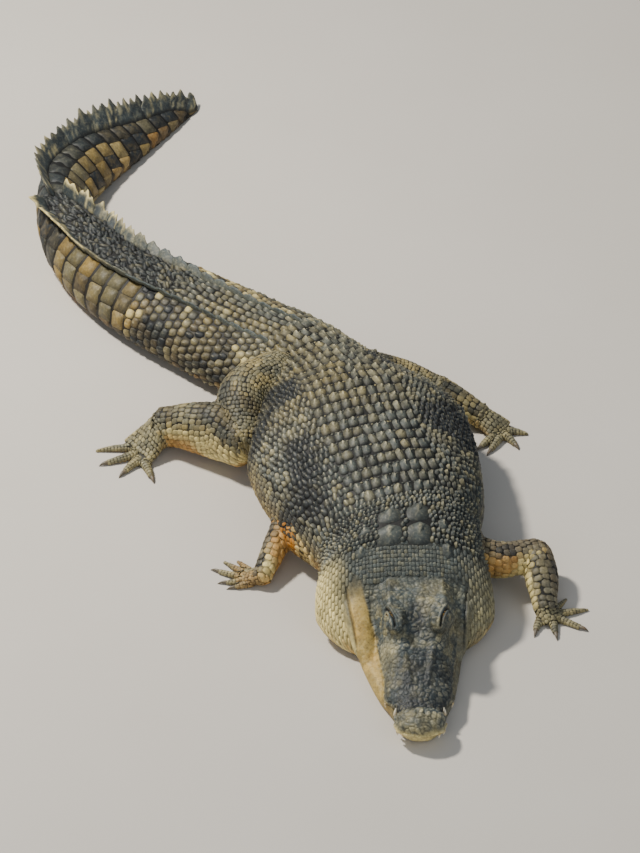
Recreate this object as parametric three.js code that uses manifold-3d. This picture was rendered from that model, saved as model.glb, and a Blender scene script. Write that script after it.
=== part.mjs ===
// An adult male saltwater crocodile at rest on its belly, its head along -Y. Its tail goes out to its right
// and curls back to the left. Millimetres, +Z up, floor at Z = 0. "along" is the distance from the snout tip,
// measured on the floor under the middle of the body. The animal's left is +X at its head.

import * as THREE from 'three';
import { mergeVertices } from 'three/addons/utils/BufferGeometryUtils.js';
import Module from 'manifold-3d';

const wasm = await Module();
wasm.setup();

// ---------------------------------------------------------------- driving dimensions

const WHORL = 68.5; // length of one ring of tail scales
const TAIL_WHORLS = [6, 6, 6, 5, 5, 5]; // in each length of the tail
const TAIL_START = 2050;
const TOTAL_LENGTH = TAIL_START + WHORL * TAIL_WHORLS.reduce((sum, count) => sum + count, 0);

const SNOUT_TIP = new THREE.Vector3(331, -1538, 0);
const HEAD_TURN = 1; // degrees left of +Y, from the snout to the neck
const BENDS = [
  { start: 640, over: 280, turn: 16 },
  { start: 1700, over: 500, turn: 34 },
  { start: 2680, over: 1115, turn: -83.5 },
];

const GAP = 0.4; // between pieces that touch
const SINK = 7; // how far each section is pressed into the floor before it is cut flat
const TRACE_STEP = 5;
const SLIVER = 0.2; // faces narrower than this are closed up

// Neck, trunk and tail, as [along, size] stations.
const HALF_WIDTH = profile([
  [440, 140], [470, 192], [500, 236], [545, 280], [600, 305], [680, 300], [780, 276], [860, 280],
  [1000, 330], [1134, 368], [1300, 400], [1430, 407], [1592, 350], [1778, 268], [1900, 236], [2000, 228],
  [2150, 230], [2300, 228], [2650, 212], [2930, 168], [3150, 138], [3300, 108], [3500, 76], [3665, 54],
  [3815, 42], [3990, 31], [4180, 20], [4294, 7],
]);
const HEIGHT = profile([
  [440, 80], [500, 128], [545, 168], [590, 212], [630, 262], [664, 292], [761, 352], [880, 372],
  [1010, 384], [1200, 398], [1500, 396], [1750, 342], [1900, 296], [2100, 262], [2300, 246], [2700, 240],
  [3000, 240], [3300, 244], [3500, 240], [3665, 226], [3815, 188], [3990, 132], [4180, 80], [4294, 28],
]);
const WAIST_SHARE = profile([[440, 0.5], [600, 0.44], [900, 0.4], [3000, 0.4], [4290, 0.45]]);
const TOP_SQUARE = profile([[440, 2.2], [1300, 2.1], [2000, 2], [2700, 2.1], [3000, 2.3], [3500, 2]]);
// How far the soft flesh lies to the left of the middle.
const SAG = profile([
  [440, -29], [600, -33], [700, -35], [800, -24], [900, -9], [1030, 0], [1200, 0], [1592, 18], [1900, 0],
]);
const BOTTOM_SQUARE = 2.7;
const LEAN = profile([[3060, 0], [3300, 22], [3520, 38], [4290, 38]]); // of the tail blade, to the right

const BODY_LENGTHS = [
  { name: 'neck', from: 440, to: 880, rings: 8, around: 20 },
  { name: 'trunk_front', from: 880, to: 1270, rings: 4, around: 20 },
  { name: 'trunk_middle', from: 1270, to: 1660, rings: 4, around: 20 },
  { name: 'trunk_rear', from: 1660, to: TAIL_START, rings: 4, around: 20 },
];

// Tail crest: two rows of scutes that close up into one.
const SINGLE_FROM = 3290;
const CREST_HEIGHT = profile([
  [2050, 16], [2400, 28], [2700, 46], [3000, 64], [3200, 74], [3400, 84], [3665, 102], [3815, 114],
  [3990, 108], [4180, 96], [4290, 66],
]);
const CREST_SPREAD = profile([[2050, 84], [2400, 80], [2700, 80], [3000, 78], [3220, 58], [3290, 40]]);
const CREST_ROOT = 16; // depth of a scute's root in the tail
const LOW_SCUTE = [
  { share: 0, length: 0.94, thick: 12, back: 0 },
  { share: 1, length: 0.14, thick: 2, back: 0.4 },
];
const TALL_SCUTE = [
  { share: 0, length: 0.9, thick: 12, back: 0 },
  { share: 0.55, length: 0.7, thick: 7, back: 0.24 },
  { share: 1, length: 0.14, thick: 2, back: 0.8 },
];
const TALL_FROM = 60; // height of the lowest tall scute

// Upper head, as [along, size] stations: the lip, the cheek, the edge of the top and the middle of the top.
const LIP_WIDTH = profile([
  [4, 22], [14, 50], [40, 77], [85, 86], [120, 73], [150, 88], [205, 116], [260, 114], [330, 120],
  [420, 132], [500, 144], [590, 156], [640, 152],
]);
const LIP_HEIGHT = profile([
  [4, 56], [60, 47], [120, 60], [205, 42], [290, 62], [380, 58], [460, 74], [540, 104], [640, 128],
]);
const CHEEK_WIDTH = profile([
  [4, 20], [14, 46], [40, 72], [85, 80], [120, 70], [150, 84], [205, 108], [330, 108], [420, 120],
  [500, 134], [590, 148], [640, 146],
]);
const CHEEK_HEIGHT = profile([
  [4, 72], [60, 84], [120, 82], [205, 84], [330, 102], [460, 138], [560, 162], [640, 176],
]);
const TOP_WIDTH = profile([
  [4, 10], [14, 24], [40, 44], [85, 50], [120, 44], [205, 62], [330, 66], [400, 78], [450, 98], [590, 97],
  [640, 90],
]);
const TOP_HEIGHT = profile([
  [4, 84], [14, 97], [60, 114], [120, 104], [205, 116], [300, 142], [370, 176], [430, 226], [500, 240],
  [590, 238], [640, 216],
]);
const MIDDLE_HEIGHT = profile([
  [4, 86], [14, 101], [60, 118], [120, 106], [205, 120], [300, 146], [370, 176], [430, 212], [500, 234],
  [590, 236], [640, 216],
]);
const HEAD_END = 640;
const HEAD_RINGS = 16;

// Lower jaw.
const JAW_START = 10;
const JAW_END = 680;
const JAW_RINGS = 11;
const JAW_WIDTH = profile([
  [10, 26], [30, 58], [80, 78], [120, 84], [160, 98], [245, 132], [330, 154], [430, 174], [520, 188],
  [620, 197], [680, 190],
]);
const MOUTH_GAP = 4;
const JAW_SAG = profile([[150, 0], [300, -13], [680, -30]]); // to the left, as the flesh
const CHIN_HEIGHT = profile([[10, 26], [60, -7], [680, -7]]);

const ORBIT = { along: 428, left: 74, up: 206, size: new THREE.Vector3(37, 60, 40) };
const EYE = { along: 424, left: 89, up: 222, radius: 20 };
const NOSTRILS = { along: 66, left: 0, up: 104, size: new THREE.Vector3(42, 34, 24) };

// Teeth: [along, length] of each on one side.
const UPPER_TEETH = [
  [24, 16], [50, 21], [78, 26], [190, 25], [218, 30], [250, 22],
];
const LOWER_TEETH = [[122, 32]];
const TOOTH_RADIUS_SHARE = 0.3;

// ---------------------------------------------------------------- limbs
// Sections of a limb are [x, y, z, half width, half height].

const LIMBS = [
  {
    upper: 'upper_arm_right',
    lower: 'forearm_right',
    foot: 'hand_right',
    claw: 'claw_hand_right',
    upperLine: [[60, -640, 106, 84, 90], [-40, -560, 116, 80, 84], [-118, -476, 96, 50, 54]],
    lowerLine: [[-118, -476, 96, 50, 54], [-158, -580, 70, 46, 46], [-199, -685, 38, 38, 34]],
    footLine: [[-199, -685, 34, 32, 30], [-232, -668, 24, 40, 24], [-262, -650, 15, 42, 16]],
    toes: [
      [[-232, -690, 11, 13, 12], [-268, -700, 9, 11, 10], [-288, -704, 6, 9, 8]],
      [[-256, -676, 11, 12, 12], [-292, -680, 9, 10, 10], [-318, -680, 6, 9, 8]],
      [[-262, -656, 11, 12, 12], [-310, -640, 9, 10, 10], [-346, -622, 6, 9, 8]],
      [[-256, -634, 11, 11, 11], [-296, -602, 8, 9, 9], [-330, -568, 4, 5, 5]],
      [[-236, -626, 11, 10, 10], [-262, -592, 7, 8, 8], [-284, -564, 3, 5, 5]],
    ],
  },
  {
    upper: 'upper_arm_left',
    lower: 'forearm_left',
    foot: 'hand_left',
    claw: 'claw_hand_left',
    upperLine: [[470, -650, 130, 74, 80], [600, -682, 110, 64, 68], [738, -650, 104, 60, 60]],
    lowerLine: [[738, -650, 104, 60, 60], [756, -736, 82, 60, 52], [764, -848, 38, 45, 35]],
    footLine: [[764, -848, 32, 42, 28], [776, -866, 26, 44, 22], [792, -886, 15, 46, 16]],
    toes: [
      [[748, -880, 11, 14, 13], [736, -912, 9, 12, 11], [732, -930, 7, 10, 9]],
      [[790, -890, 11, 13, 12], [794, -926, 9, 12, 10], [797, -946, 7, 10, 9]],
      [[812, -878, 11, 13, 12], [848, -898, 9, 11, 10], [880, -916, 7, 10, 9]],
      [[816, -850, 11, 12, 12], [866, -836, 9, 10, 10], [912, -822, 3, 5, 5]],
      [[800, -830, 11, 11, 11], [822, -796, 7, 8, 8], [840, -766, 3, 5, 5]],
    ],
  },
  {
    upper: 'thigh_right',
    lower: 'shank_right',
    foot: 'foot_right',
    claw: 'claw_foot_right',
    upperLine: [[-150, 240, 170, 110, 120], [-266, 120, 196, 98, 100], [-276, -48, 120, 88, 94]],
    lowerLine: [
      [-276, -48, 120, 88, 94], [-350, 8, 122, 90, 112], [-450, 52, 110, 78, 98], [-552, 90, 86, 60, 78],
    ],
    footLine: [[-552, 90, 78, 58, 70], [-602, 62, 50, 70, 46], [-646, 28, 22, 84, 23]],
    toes: [
      [[-624, -26, 13, 16, 15], [-608, -66, 11, 13, 12], [-596, -100, 7, 10, 10]],
      [[-640, -8, 13, 16, 15], [-672, -44, 11, 13, 12], [-692, -72, 7, 10, 10]],
      [[-650, 24, 13, 16, 15], [-706, -2, 11, 13, 12], [-752, -20, 7, 10, 10]],
      [[-654, 60, 13, 15, 14], [-728, 58, 10, 12, 11], [-796, 52, 4, 6, 6]],
    ],
  },
  {
    upper: 'thigh_left',
    lower: 'shank_left',
    foot: 'foot_left',
    claw: 'claw_foot_left',
    upperLine: [[150, 290, 150, 90, 110], [290, 296, 126, 82, 88], [420, 262, 98, 68, 70]],
    lowerLine: [[420, 262, 98, 68, 70], [500, 230, 76, 58, 58], [574, 200, 50, 44, 46]],
    footLine: [[574, 200, 46, 42, 42], [616, 172, 34, 54, 32], [648, 150, 18, 64, 18]],
    toes: [
      [[622, 124, 13, 16, 15], [594, 96, 11, 13, 12], [576, 74, 7, 10, 10]],
      [[642, 122, 13, 16, 15], [626, 86, 11, 13, 12], [610, 56, 7, 10, 10]],
      [[656, 136, 13, 16, 15], [680, 110, 11, 13, 12], [694, 88, 7, 10, 10]],
      [[660, 158, 13, 15, 14], [706, 154, 10, 12, 11], [742, 148, 4, 6, 6]],
    ],
  },
];
const CAP_REACH = 0.5; // of a limb's rounded end, as a share of its half size
const CAP_SIZE = 0.6;
const CLAWED_TOES = 3; // the inner ones of each foot
const CLAW_LENGTH = 36;

// ---------------------------------------------------------------- curves

// A smooth curve through [place, value] stations that doesn't overshoot between them.
function profile(stations) {
  const places = stations.map((station) => station[0]);
  const values = stations.map((station) => station[1]);
  const slopes = places.slice(1).map((place, i) => (values[i + 1] - values[i]) / (place - places[i]));
  const tangents = places.map((_, i) => {
    const before = slopes[i - 1] ?? 0;
    const after = slopes[i] ?? 0;
    return before * after > 0 ? (2 * before * after) / (before + after) : 0;
  });
  return (place) => {
    if (place <= places[0]) return values[0];
    if (place >= places.at(-1)) return values.at(-1);
    const i = places.findIndex((end) => place < end) - 1;
    const span = places[i + 1] - places[i];
    const t = (place - places[i]) / span;
    const rise = values[i + 1] - values[i];
    const leaving = tangents[i] * span - rise;
    const arriving = rise - tangents[i + 1] * span;
    return values[i] + t * rise + t * (1 - t) * (leaving * (1 - t) + arriving * t);
  };
}

// Heading of the body towards the tail, in radians left of +Y.
function heading(along) {
  const { smoothstep, degToRad } = THREE.MathUtils;
  const turned = BENDS.map(({ start, over, turn }) => turn * smoothstep(along, start, start + over));
  return degToRad(turned.reduce((sum, turn) => sum + turn, HEAD_TURN));
}

// The line of the body on the floor, traced once in short steps.
const TRACE = [SNOUT_TIP];
for (let along = 0; along < TOTAL_LENGTH; along += TRACE_STEP) {
  const turn = heading(along + TRACE_STEP / 2);
  const step = new THREE.Vector3(-Math.sin(turn), Math.cos(turn), 0).multiplyScalar(TRACE_STEP);
  TRACE.push(TRACE.at(-1).clone().add(step));
}

// A point of the body from its place along it, its distance to the left and its height.
function bodyPoint(along, left, up) {
  const i = THREE.MathUtils.clamp(Math.floor(along / TRACE_STEP), 0, TRACE.length - 2);
  const origin = TRACE[i].clone().lerp(TRACE[i + 1], along / TRACE_STEP - i);
  const turn = heading(along);
  return origin.add(new THREE.Vector3(left * Math.cos(turn), left * Math.sin(turn), up));
}

// ---------------------------------------------------------------- solids

const signedPower = (value, power) => Math.sign(value) * Math.abs(value) ** power;

// A closed skin over rings of points, each the same number, with a fan over the first and last.
function loft(rings) {
  const around = rings[0].length;
  const middle = (ring) => ring.reduce((sum, p) => sum.add(p), new THREE.Vector3()).divideScalar(around);
  const points = [...rings.flat(), middle(rings[0]), middle(rings.at(-1))];
  const firstMiddle = points.length - 2;
  const lastRing = (rings.length - 1) * around;
  const faces = [];
  for (let i = 0; i < around; i++) {
    const j = (i + 1) % around;
    for (let low = 0; low < lastRing; low += around) {
      const high = low + around;
      faces.push(low + i, high + i, low + j, low + j, high + i, high + j);
    }
    faces.push(firstMiddle, i, j, firstMiddle + 1, lastRing + j, lastRing + i);
  }
  return solidOf(new THREE.BufferGeometry().setFromPoints(points).setIndex(faces));
}

function solidOf(geometry) {
  const bare = geometry.clone();
  bare.deleteAttribute('normal');
  bare.deleteAttribute('uv');
  const merged = mergeVertices(bare, 1e-3);
  const triangles = Uint32Array.from(merged.index.array);
  const build = () => {
    const mesh = { numProp: 3, vertProperties: merged.attributes.position.array, triVerts: triangles };
    return new wasm.Manifold(new wasm.Mesh(mesh));
  };
  const solid = build();
  if (solid.volume() > 0) return solid;
  for (let i = 0; i < triangles.length; i += 3) triangles.subarray(i, i + 2).reverse();
  return build();
}

const union = (solids) => solids.reduce((whole, solid) => whole.add(solid));

// What is left of a solid outside others: its largest piece.
function outside(solid, others) {
  const rest = others.reduce((left, other) => left.subtract(other), solid);
  return rest.decompose().reduce((best, piece) => (piece.volume() > best.volume() ? piece : best));
}

const FLOOR = solidOf(new THREE.BoxGeometry(8000, 8000, 800).translate(0, 0, -400));

function ellipsoid({ along, left, up, size }, side, grow = 0) {
  const centre = bodyPoint(along, side * left, up);
  return solidOf(
    new THREE.SphereGeometry(1, 8, 6)
      .scale(size.x + grow, size.y + grow, size.z + grow)
      .translate(centre.x, centre.y, centre.z),
  );
}

// ---------------------------------------------------------------- neck, trunk and tail

// The section of the body at a place, as [left, up] points before it stands on the floor.
function bodySection(along, around, grow) {
  const height = HEIGHT(along);
  const waist = height * WAIST_SHARE(along);
  const lean = THREE.MathUtils.degToRad(LEAN(along));
  return Array.from({ length: around }, (_, i) => {
    const angle = (2 * Math.PI * (i + 0.5)) / around;
    const upper = Math.sin(angle) > 0;
    const power = 2 / (upper ? TOP_SQUARE(along) : BOTTOM_SQUARE);
    const reach = (upper ? height - waist : waist) + grow;
    const left = SAG(along) + (HALF_WIDTH(along) + grow) * signedPower(Math.cos(angle), power);
    const up = waist + reach * signedPower(Math.sin(angle), power);
    return new THREE.Vector2(left, up).rotateAround(new THREE.Vector2(), lean);
  });
}

// How far a section is moved up to stand on the floor.
function standing(along) {
  return -SINK - Math.min(...bodySection(along, 24, 0).map((p) => p.y));
}

function bodyLength({ from, to, rings, around }, grow = 0) {
  const start = from + GAP / 2 - grow;
  const end = to - GAP / 2 + grow;
  const ringAt = (along) => {
    const lift = standing(along);
    return bodySection(along, around, grow).map((p) => bodyPoint(along, p.x, p.y + lift));
  };
  const places = Array.from({ length: rings + 1 }, (_, i) => THREE.MathUtils.lerp(start, end, i / rings));
  return loft(places.map(ringAt));
}

// A crest scute: a blade swept back to a point, with its root in the back of the tail.
function crestScute(along, left) {
  const height = CREST_HEIGHT(along);
  const lean = THREE.MathUtils.degToRad(LEAN(along));
  const fall = Math.abs(left / HALF_WIDTH(along)) ** TOP_SQUARE(along);
  const waist = HEIGHT(along) * WAIST_SHARE(along);
  const root = waist + (HEIGHT(along) - waist) * (1 - fall) ** (1 / TOP_SQUARE(along)) - CREST_ROOT;
  const lift = standing(along);
  const blade = ({ share, length, thick, back }) =>
    [0, 1, 2, 3].map((corner) => {
      const angle = (Math.PI * corner) / 2;
      const place = along + WHORL * (back + 0.5 * length * Math.cos(angle));
      const across = left * (1 + 0.35 * share) + thick * Math.sin(angle);
      const up = root + (height + CREST_ROOT) * share;
      const p = new THREE.Vector2(across, up).rotateAround(new THREE.Vector2(), lean);
      return bodyPoint(place, p.x, p.y + lift);
    });
  return loft((height < TALL_FROM ? LOW_SCUTE : TALL_SCUTE).map(blade));
}

function tailLengths() {
  let whorl = 0;
  return TAIL_WHORLS.map((count, i) => {
    const from = TAIL_START + whorl * WHORL;
    const around = i < 3 ? 14 : 12;
    const body = bodyLength({ from, to: from + count * WHORL, rings: 4, around });
    const scutes = [];
    for (let n = 0; n < count; n++) {
      const middle = from + (n + 0.5) * WHORL;
      const rows = middle < SINGLE_FROM ? [-CREST_SPREAD(middle), CREST_SPREAD(middle)] : [0];
      scutes.push(...rows.map((left) => crestScute(middle, left)));
    }
    whorl += count;
    return { name: `tail_${i + 1}`, solid: union([body, ...scutes]).subtract(FLOOR) };
  });
}

// ---------------------------------------------------------------- head

// A ring from the right-hand half of a section, given from its bottom middle round to its top middle.
function mirroredRing(along, half, aside, grow) {
  const centre = new THREE.Vector2(0, (half[0][1] + half.at(-1)[1]) / 2);
  const points = half.map(([left, up]) => {
    const p = new THREE.Vector2(left, up);
    return p.addScaledVector(p.clone().sub(centre).normalize(), 2 * grow);
  });
  const mirrored = points.slice(1, -1).reverse().map((p) => new THREE.Vector2(-p.x, p.y));
  return [...points, ...mirrored].map((p) => bodyPoint(along, p.x + aside, p.y));
}

function upperHeadHalf(along) {
  const lip = LIP_WIDTH(along);
  const low = LIP_HEIGHT(along);
  const cheek = CHEEK_WIDTH(along);
  const cheekUp = CHEEK_HEIGHT(along);
  const top = TOP_WIDTH(along);
  const topUp = TOP_HEIGHT(along);
  return [
    [0, low],
    [lip, low],
    [lip * 0.6 + cheek * 0.4, low * 0.5 + cheekUp * 0.5],
    [cheek, cheekUp],
    [cheek * 0.45 + top * 0.55, cheekUp * 0.4 + topUp * 0.6],
    [top, topUp - 5],
    [top * 0.86, topUp],
    [top * 0.4, (topUp + MIDDLE_HEIGHT(along)) / 2],
    [0, MIDDLE_HEIGHT(along)],
  ];
}

function jawHalf(along) {
  const wide = JAW_WIDTH(along);
  const lip = LIP_WIDTH(along);
  const top = LIP_HEIGHT(along) - MOUTH_GAP;
  const chin = CHIN_HEIGHT(along);
  return [
    [0, chin],
    [wide * 0.7, chin],
    [wide * 0.95, chin + (top - chin) * 0.3],
    [wide, chin + (top - chin) * 0.6],
    [wide * 0.6 + lip * 0.4, chin + (top - chin) * 0.9],
    [lip + 2, top],
    [0, top],
  ];
}

const UPPER_HEAD = { half: upperHeadHalf, start: 4, end: HEAD_END, rings: HEAD_RINGS, aside: () => 0 };
const LOWER_JAW = { half: jawHalf, start: JAW_START, end: JAW_END, rings: JAW_RINGS, aside: JAW_SAG };

function headRings({ half, start, end, rings, aside }, grow) {
  return Array.from({ length: rings + 1 }, (_, i) => {
    const along = THREE.MathUtils.lerp(start - grow, end + grow, (i / rings) ** 1.25);
    return mirroredRing(along, half(along), aside(along), grow);
  });
}

// A tooth: a cone from its root in the jaw to its tip, pointing up or down.
function tooth([along, length], side, left, root, way, grow) {
  const radius = length * TOOTH_RADIUS_SHARE + grow;
  const tall = length + 8 + 2 * grow;
  const place = bodyPoint(along, side * left, root - way * 8);
  return solidOf(
    new THREE.ConeGeometry(radius, tall, 4)
      .translate(0, tall / 2 - grow, 0)
      .rotateX((way * Math.PI) / 2)
      .translate(place.x, place.y, place.z),
  );
}

const upperTeeth = (grow = 0) =>
  [-1, 1].flatMap((side) =>
    UPPER_TEETH.map((size) => tooth(size, side, LIP_WIDTH(size[0]) - 3, LIP_HEIGHT(size[0]), -1, grow)),
  );

// The lower teeth stand outside the upper jaw, in its notch.
const lowerTeeth = () =>
  [-1, 1].flatMap((side) =>
    LOWER_TEETH.map((size) => {
      const left = LIP_WIDTH(size[0]) + size[1] * TOOTH_RADIUS_SHARE + 2;
      return tooth(size, side, left, LIP_HEIGHT(size[0]), 1, 0);
    }),
  );

function upperHead(grow = 0) {
  const bumps = [ellipsoid(ORBIT, -1, grow), ellipsoid(ORBIT, 1, grow), ellipsoid(NOSTRILS, 0, grow)];
  return union([loft(headRings(UPPER_HEAD, grow)), ...bumps]);
}

const lowerJaw = (grow = 0) => loft(headRings(LOWER_JAW, grow));

const eyeball = (side, grow = 0) =>
  ellipsoid({ ...EYE, size: new THREE.Vector3(EYE.radius, EYE.radius, EYE.radius) }, side, grow);

// ---------------------------------------------------------------- limbs

function middleLine(line) {
  const points = line.map(([x, y, z]) => new THREE.Vector3(x, y, z));
  return new THREE.CatmullRomCurve3(points, false, 'centripetal');
}

// A round, tapered solid along a line of [x, y, z, half width, half height] sections, with rounded ends.
function taper(line, { around = 8, rings = 3, grow = 0, rounded = true } = {}) {
  const curve = middleLine(line);
  const place = (i) => (i / rings) * (line.length - 1);
  const size = (index) => profile(line.map((section, i) => [i, section[index]]));
  const wide = size(3);
  const deep = size(4);
  const ringAt = (centre, ahead, halfWidth, halfHeight) => {
    const across = new THREE.Vector3().crossVectors(ahead, new THREE.Vector3(0, 0, 1)).normalize();
    const up = new THREE.Vector3().crossVectors(across, ahead);
    return Array.from({ length: around }, (_, i) => {
      const angle = (2 * Math.PI * (i + 0.5)) / around;
      return centre
        .clone()
        .addScaledVector(across, halfWidth * Math.cos(angle))
        .addScaledVector(up, halfHeight * Math.sin(angle));
    });
  };
  const all = [];
  for (let i = 0; i <= rings; i++) {
    const t = i / rings;
    const centre = curve.getPoint(t);
    const ahead = curve.getTangent(t);
    const halfWidth = wide(place(i)) + grow;
    const halfHeight = deep(place(i)) + grow;
    const cap = (way) => {
      const reach = way * (CAP_REACH * Math.min(halfWidth, halfHeight) + grow);
      const capCentre = centre.clone().addScaledVector(ahead, reach);
      return ringAt(capCentre, ahead, halfWidth * CAP_SIZE, halfHeight * CAP_SIZE);
    };
    if (rounded && i === 0) all.push(cap(-1));
    all.push(ringAt(centre, ahead, halfWidth, halfHeight));
    if (rounded && i === rings) all.push(cap(1));
  }
  return loft(all);
}

function footSolid({ footLine, toes }, grow = 0) {
  const toeSolids = toes.map((line) => taper(line, { around: 4, rings: 2, grow }));
  return union([taper(footLine, { rings: 2, grow }), ...toeSolids]);
}

// A claw: it leaves the flat end of the toe, and curves down to a point at the floor.
function claw(toe) {
  const line = middleLine(toe);
  const ahead = line.getTangent(1);
  const radius = toe.at(-1)[4];
  const root = line.getPoint(1).addScaledVector(ahead, CAP_REACH * radius + GAP);
  const section = (share, up, size) => {
    const p = root.clone().addScaledVector(ahead, CLAW_LENGTH * share);
    return [p.x, p.y, up ?? p.z, radius * size, radius * size];
  };
  const sections = [section(0, null, 0.8), section(0.5, null, 0.62), section(1, 3, 0.14)];
  return taper(sections, { around: 5, rings: 2, rounded: false });
}

// ---------------------------------------------------------------- assembly

const finish = (color, roughness) => ({ color, roughness, metalness: 0 });
const HIDE = finish(0x5d625a, 0.75);
const FLANK = finish(0x8a7c4e, 0.75);
const PALE = finish(0xa89b6c, 0.75);
const HORN = finish(0x2f2c28, 0.45);
const EYEBALL = finish(0x8f8a3c, 0.2);

const crocodile = new THREE.Group();

function addPiece(name, solid, { color, roughness, metalness }) {
  const { vertProperties, triVerts } = solid.simplify(SLIVER).getMesh();
  const geometry = new THREE.BufferGeometry();
  geometry.setAttribute('position', new THREE.BufferAttribute(vertProperties, 3));
  geometry.setIndex(new THREE.BufferAttribute(triVerts, 1));
  const mesh = new THREE.Mesh(geometry, new THREE.MeshStandardMaterial({ color, roughness, metalness }));
  mesh.name = name;
  crocodile.add(mesh);
}

const grownHead = upperHead(GAP);
const grownJaw = lowerJaw(GAP);
const headWithTeeth = union([upperHead(), ...upperTeeth()]);
const jawWithTeeth = union([lowerJaw(), ...lowerTeeth()]);
addPiece('head_upper', outside(headWithTeeth, [eyeball(-1, GAP), eyeball(1, GAP)]), HIDE);
addPiece('lower_jaw', outside(jawWithTeeth, [...upperTeeth(GAP), FLOOR]), PALE);
addPiece('eye_right', eyeball(-1), EYEBALL);
addPiece('eye_left', eyeball(1), EYEBALL);

for (const length of BODY_LENGTHS) {
  const hollows = length.name === 'neck' ? [grownHead, grownJaw] : [];
  addPiece(length.name, outside(bodyLength(length), [...hollows, FLOOR]), HIDE);
}
for (const { name, solid } of tailLengths()) addPiece(name, solid, FLANK);

const grownBody = [...BODY_LENGTHS.map((length) => bodyLength(length, GAP)), grownJaw];
const tailRoot = { from: TAIL_START, to: TAIL_START + TAIL_WHORLS[0] * WHORL, rings: 4, around: 14 };
grownBody.push(bodyLength(tailRoot, GAP));

for (const limb of LIMBS) {
  const upper = taper(limb.upperLine);
  const lower = taper(limb.lowerLine);
  const foot = footSolid(limb);
  const grownUpper = taper(limb.upperLine, { grow: GAP });
  const grownLower = taper(limb.lowerLine, { grow: GAP });
  addPiece(limb.upper, outside(upper, [...grownBody, FLOOR]), HIDE);
  addPiece(limb.lower, outside(lower, [...grownBody, grownUpper, FLOOR]), HIDE);
  addPiece(limb.foot, outside(foot, [...grownBody, grownUpper, grownLower, FLOOR]), PALE);
  limb.toes.slice(0, CLAWED_TOES).forEach((toe, i) => {
    addPiece(`${limb.claw}_${i + 1}`, outside(claw(toe), [FLOOR]), HORN);
  });
}

// The origin is the middle of the footprint.
const middle = new THREE.Box3().setFromObject(crocodile).getCenter(new THREE.Vector3());
crocodile.position.set(-middle.x, -middle.y, 0);

export default crocodile;
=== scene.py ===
"""A still, life-size saltwater crocodile: skin, scales, crest, eyes, teeth and claws, and its stage."""

import math

import bpy
import numpy as np
from bpy.props import FloatProperty, FloatVectorProperty, PointerProperty, StringProperty
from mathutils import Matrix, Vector
from mathutils.bvhtree import BVHTree
from mathutils.kdtree import KDTree


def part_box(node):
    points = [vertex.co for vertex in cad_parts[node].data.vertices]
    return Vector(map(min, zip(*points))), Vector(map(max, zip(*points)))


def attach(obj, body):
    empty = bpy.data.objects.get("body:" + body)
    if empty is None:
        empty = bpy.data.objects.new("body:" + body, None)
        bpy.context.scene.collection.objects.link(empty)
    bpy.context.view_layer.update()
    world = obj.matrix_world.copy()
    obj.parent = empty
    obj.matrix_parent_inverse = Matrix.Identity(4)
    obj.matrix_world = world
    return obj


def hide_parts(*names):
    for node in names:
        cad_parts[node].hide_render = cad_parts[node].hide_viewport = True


bl_info = {
    "name": "Crocodile at rest",
    "version": (1, 0, 0),
    "blender": (4, 5, 0),
    "location": "View3D > Sidebar > Crocodile",
    "description": "Builds the skin, scales, crest, eyes, teeth and claws of a crocodile lying on its belly",
    "category": "Object",
}

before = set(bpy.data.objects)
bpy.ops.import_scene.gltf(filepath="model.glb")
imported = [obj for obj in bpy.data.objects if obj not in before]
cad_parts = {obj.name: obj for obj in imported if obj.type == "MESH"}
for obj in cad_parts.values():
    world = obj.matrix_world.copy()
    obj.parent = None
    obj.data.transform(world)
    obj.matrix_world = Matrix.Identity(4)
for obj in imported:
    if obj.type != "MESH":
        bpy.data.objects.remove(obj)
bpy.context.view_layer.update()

# ---------------------------------------------------------------- sizes of the animal
# Millimetres. "along" is the distance from the snout tip, "left" is from the middle line and "up" is from
# the floor.

WHORL = 68.5
TAIL_START = 2050
WHORLS = 33
TAIL_END = TAIL_START + WHORLS * WHORL
BODY_START = 440
SNOUT_TIP = (331.0, -1538.0)
HEAD_TURN = 1.0
BENDS = [(640, 280, 16), (1700, 500, 34), (2680, 1115, -83.5)]
TRACE_STEP = 5.0
SINK = 7.0


def profile(*stations):
    """A smooth curve through (place, value) stations that doesn't overshoot, for arrays of places."""
    places, values = np.array(stations, float).T
    slopes = np.diff(values) / np.diff(places)
    before, after = np.r_[0, slopes], np.r_[slopes, 0]
    product = before * after
    total = np.where(product > 0, before + after, 1)
    tangents = np.where(product > 0, 2 * product / total, 0)

    def curve(place):
        place = np.clip(place, places[0], places[-1])
        i = np.clip(np.searchsorted(places, place, side="right") - 1, 0, len(places) - 2)
        span = places[i + 1] - places[i]
        t = (place - places[i]) / span
        rise = values[i + 1] - values[i]
        leaving = tangents[i] * span - rise
        arriving = rise - tangents[i + 1] * span
        return values[i] + t * rise + t * (1 - t) * (leaving * (1 - t) + arriving * t)

    return curve


HALF_WIDTH = profile(
    (440, 140), (470, 192), (500, 236), (545, 280), (600, 305), (680, 300), (780, 276), (860, 280),
    (1000, 330), (1134, 368), (1300, 400), (1430, 407), (1592, 350), (1778, 268), (1900, 236), (2000, 228),
    (2150, 230), (2300, 228), (2650, 212), (2930, 168), (3150, 138), (3300, 108), (3500, 76), (3665, 54),
    (3815, 42), (3990, 31), (4180, 20), (4294, 7),
)
HEIGHT = profile(
    (440, 80), (500, 128), (545, 168), (590, 212), (630, 262), (664, 292), (761, 352), (880, 372),
    (1010, 384), (1200, 398), (1500, 396), (1750, 342), (1900, 296), (2100, 262), (2300, 246), (2700, 240),
    (3000, 240), (3300, 244), (3500, 240), (3665, 226), (3815, 188), (3990, 132), (4180, 80), (4294, 28),
)
WAIST_SHARE = profile((440, 0.5), (600, 0.44), (900, 0.4), (3000, 0.4), (4290, 0.45))
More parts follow.
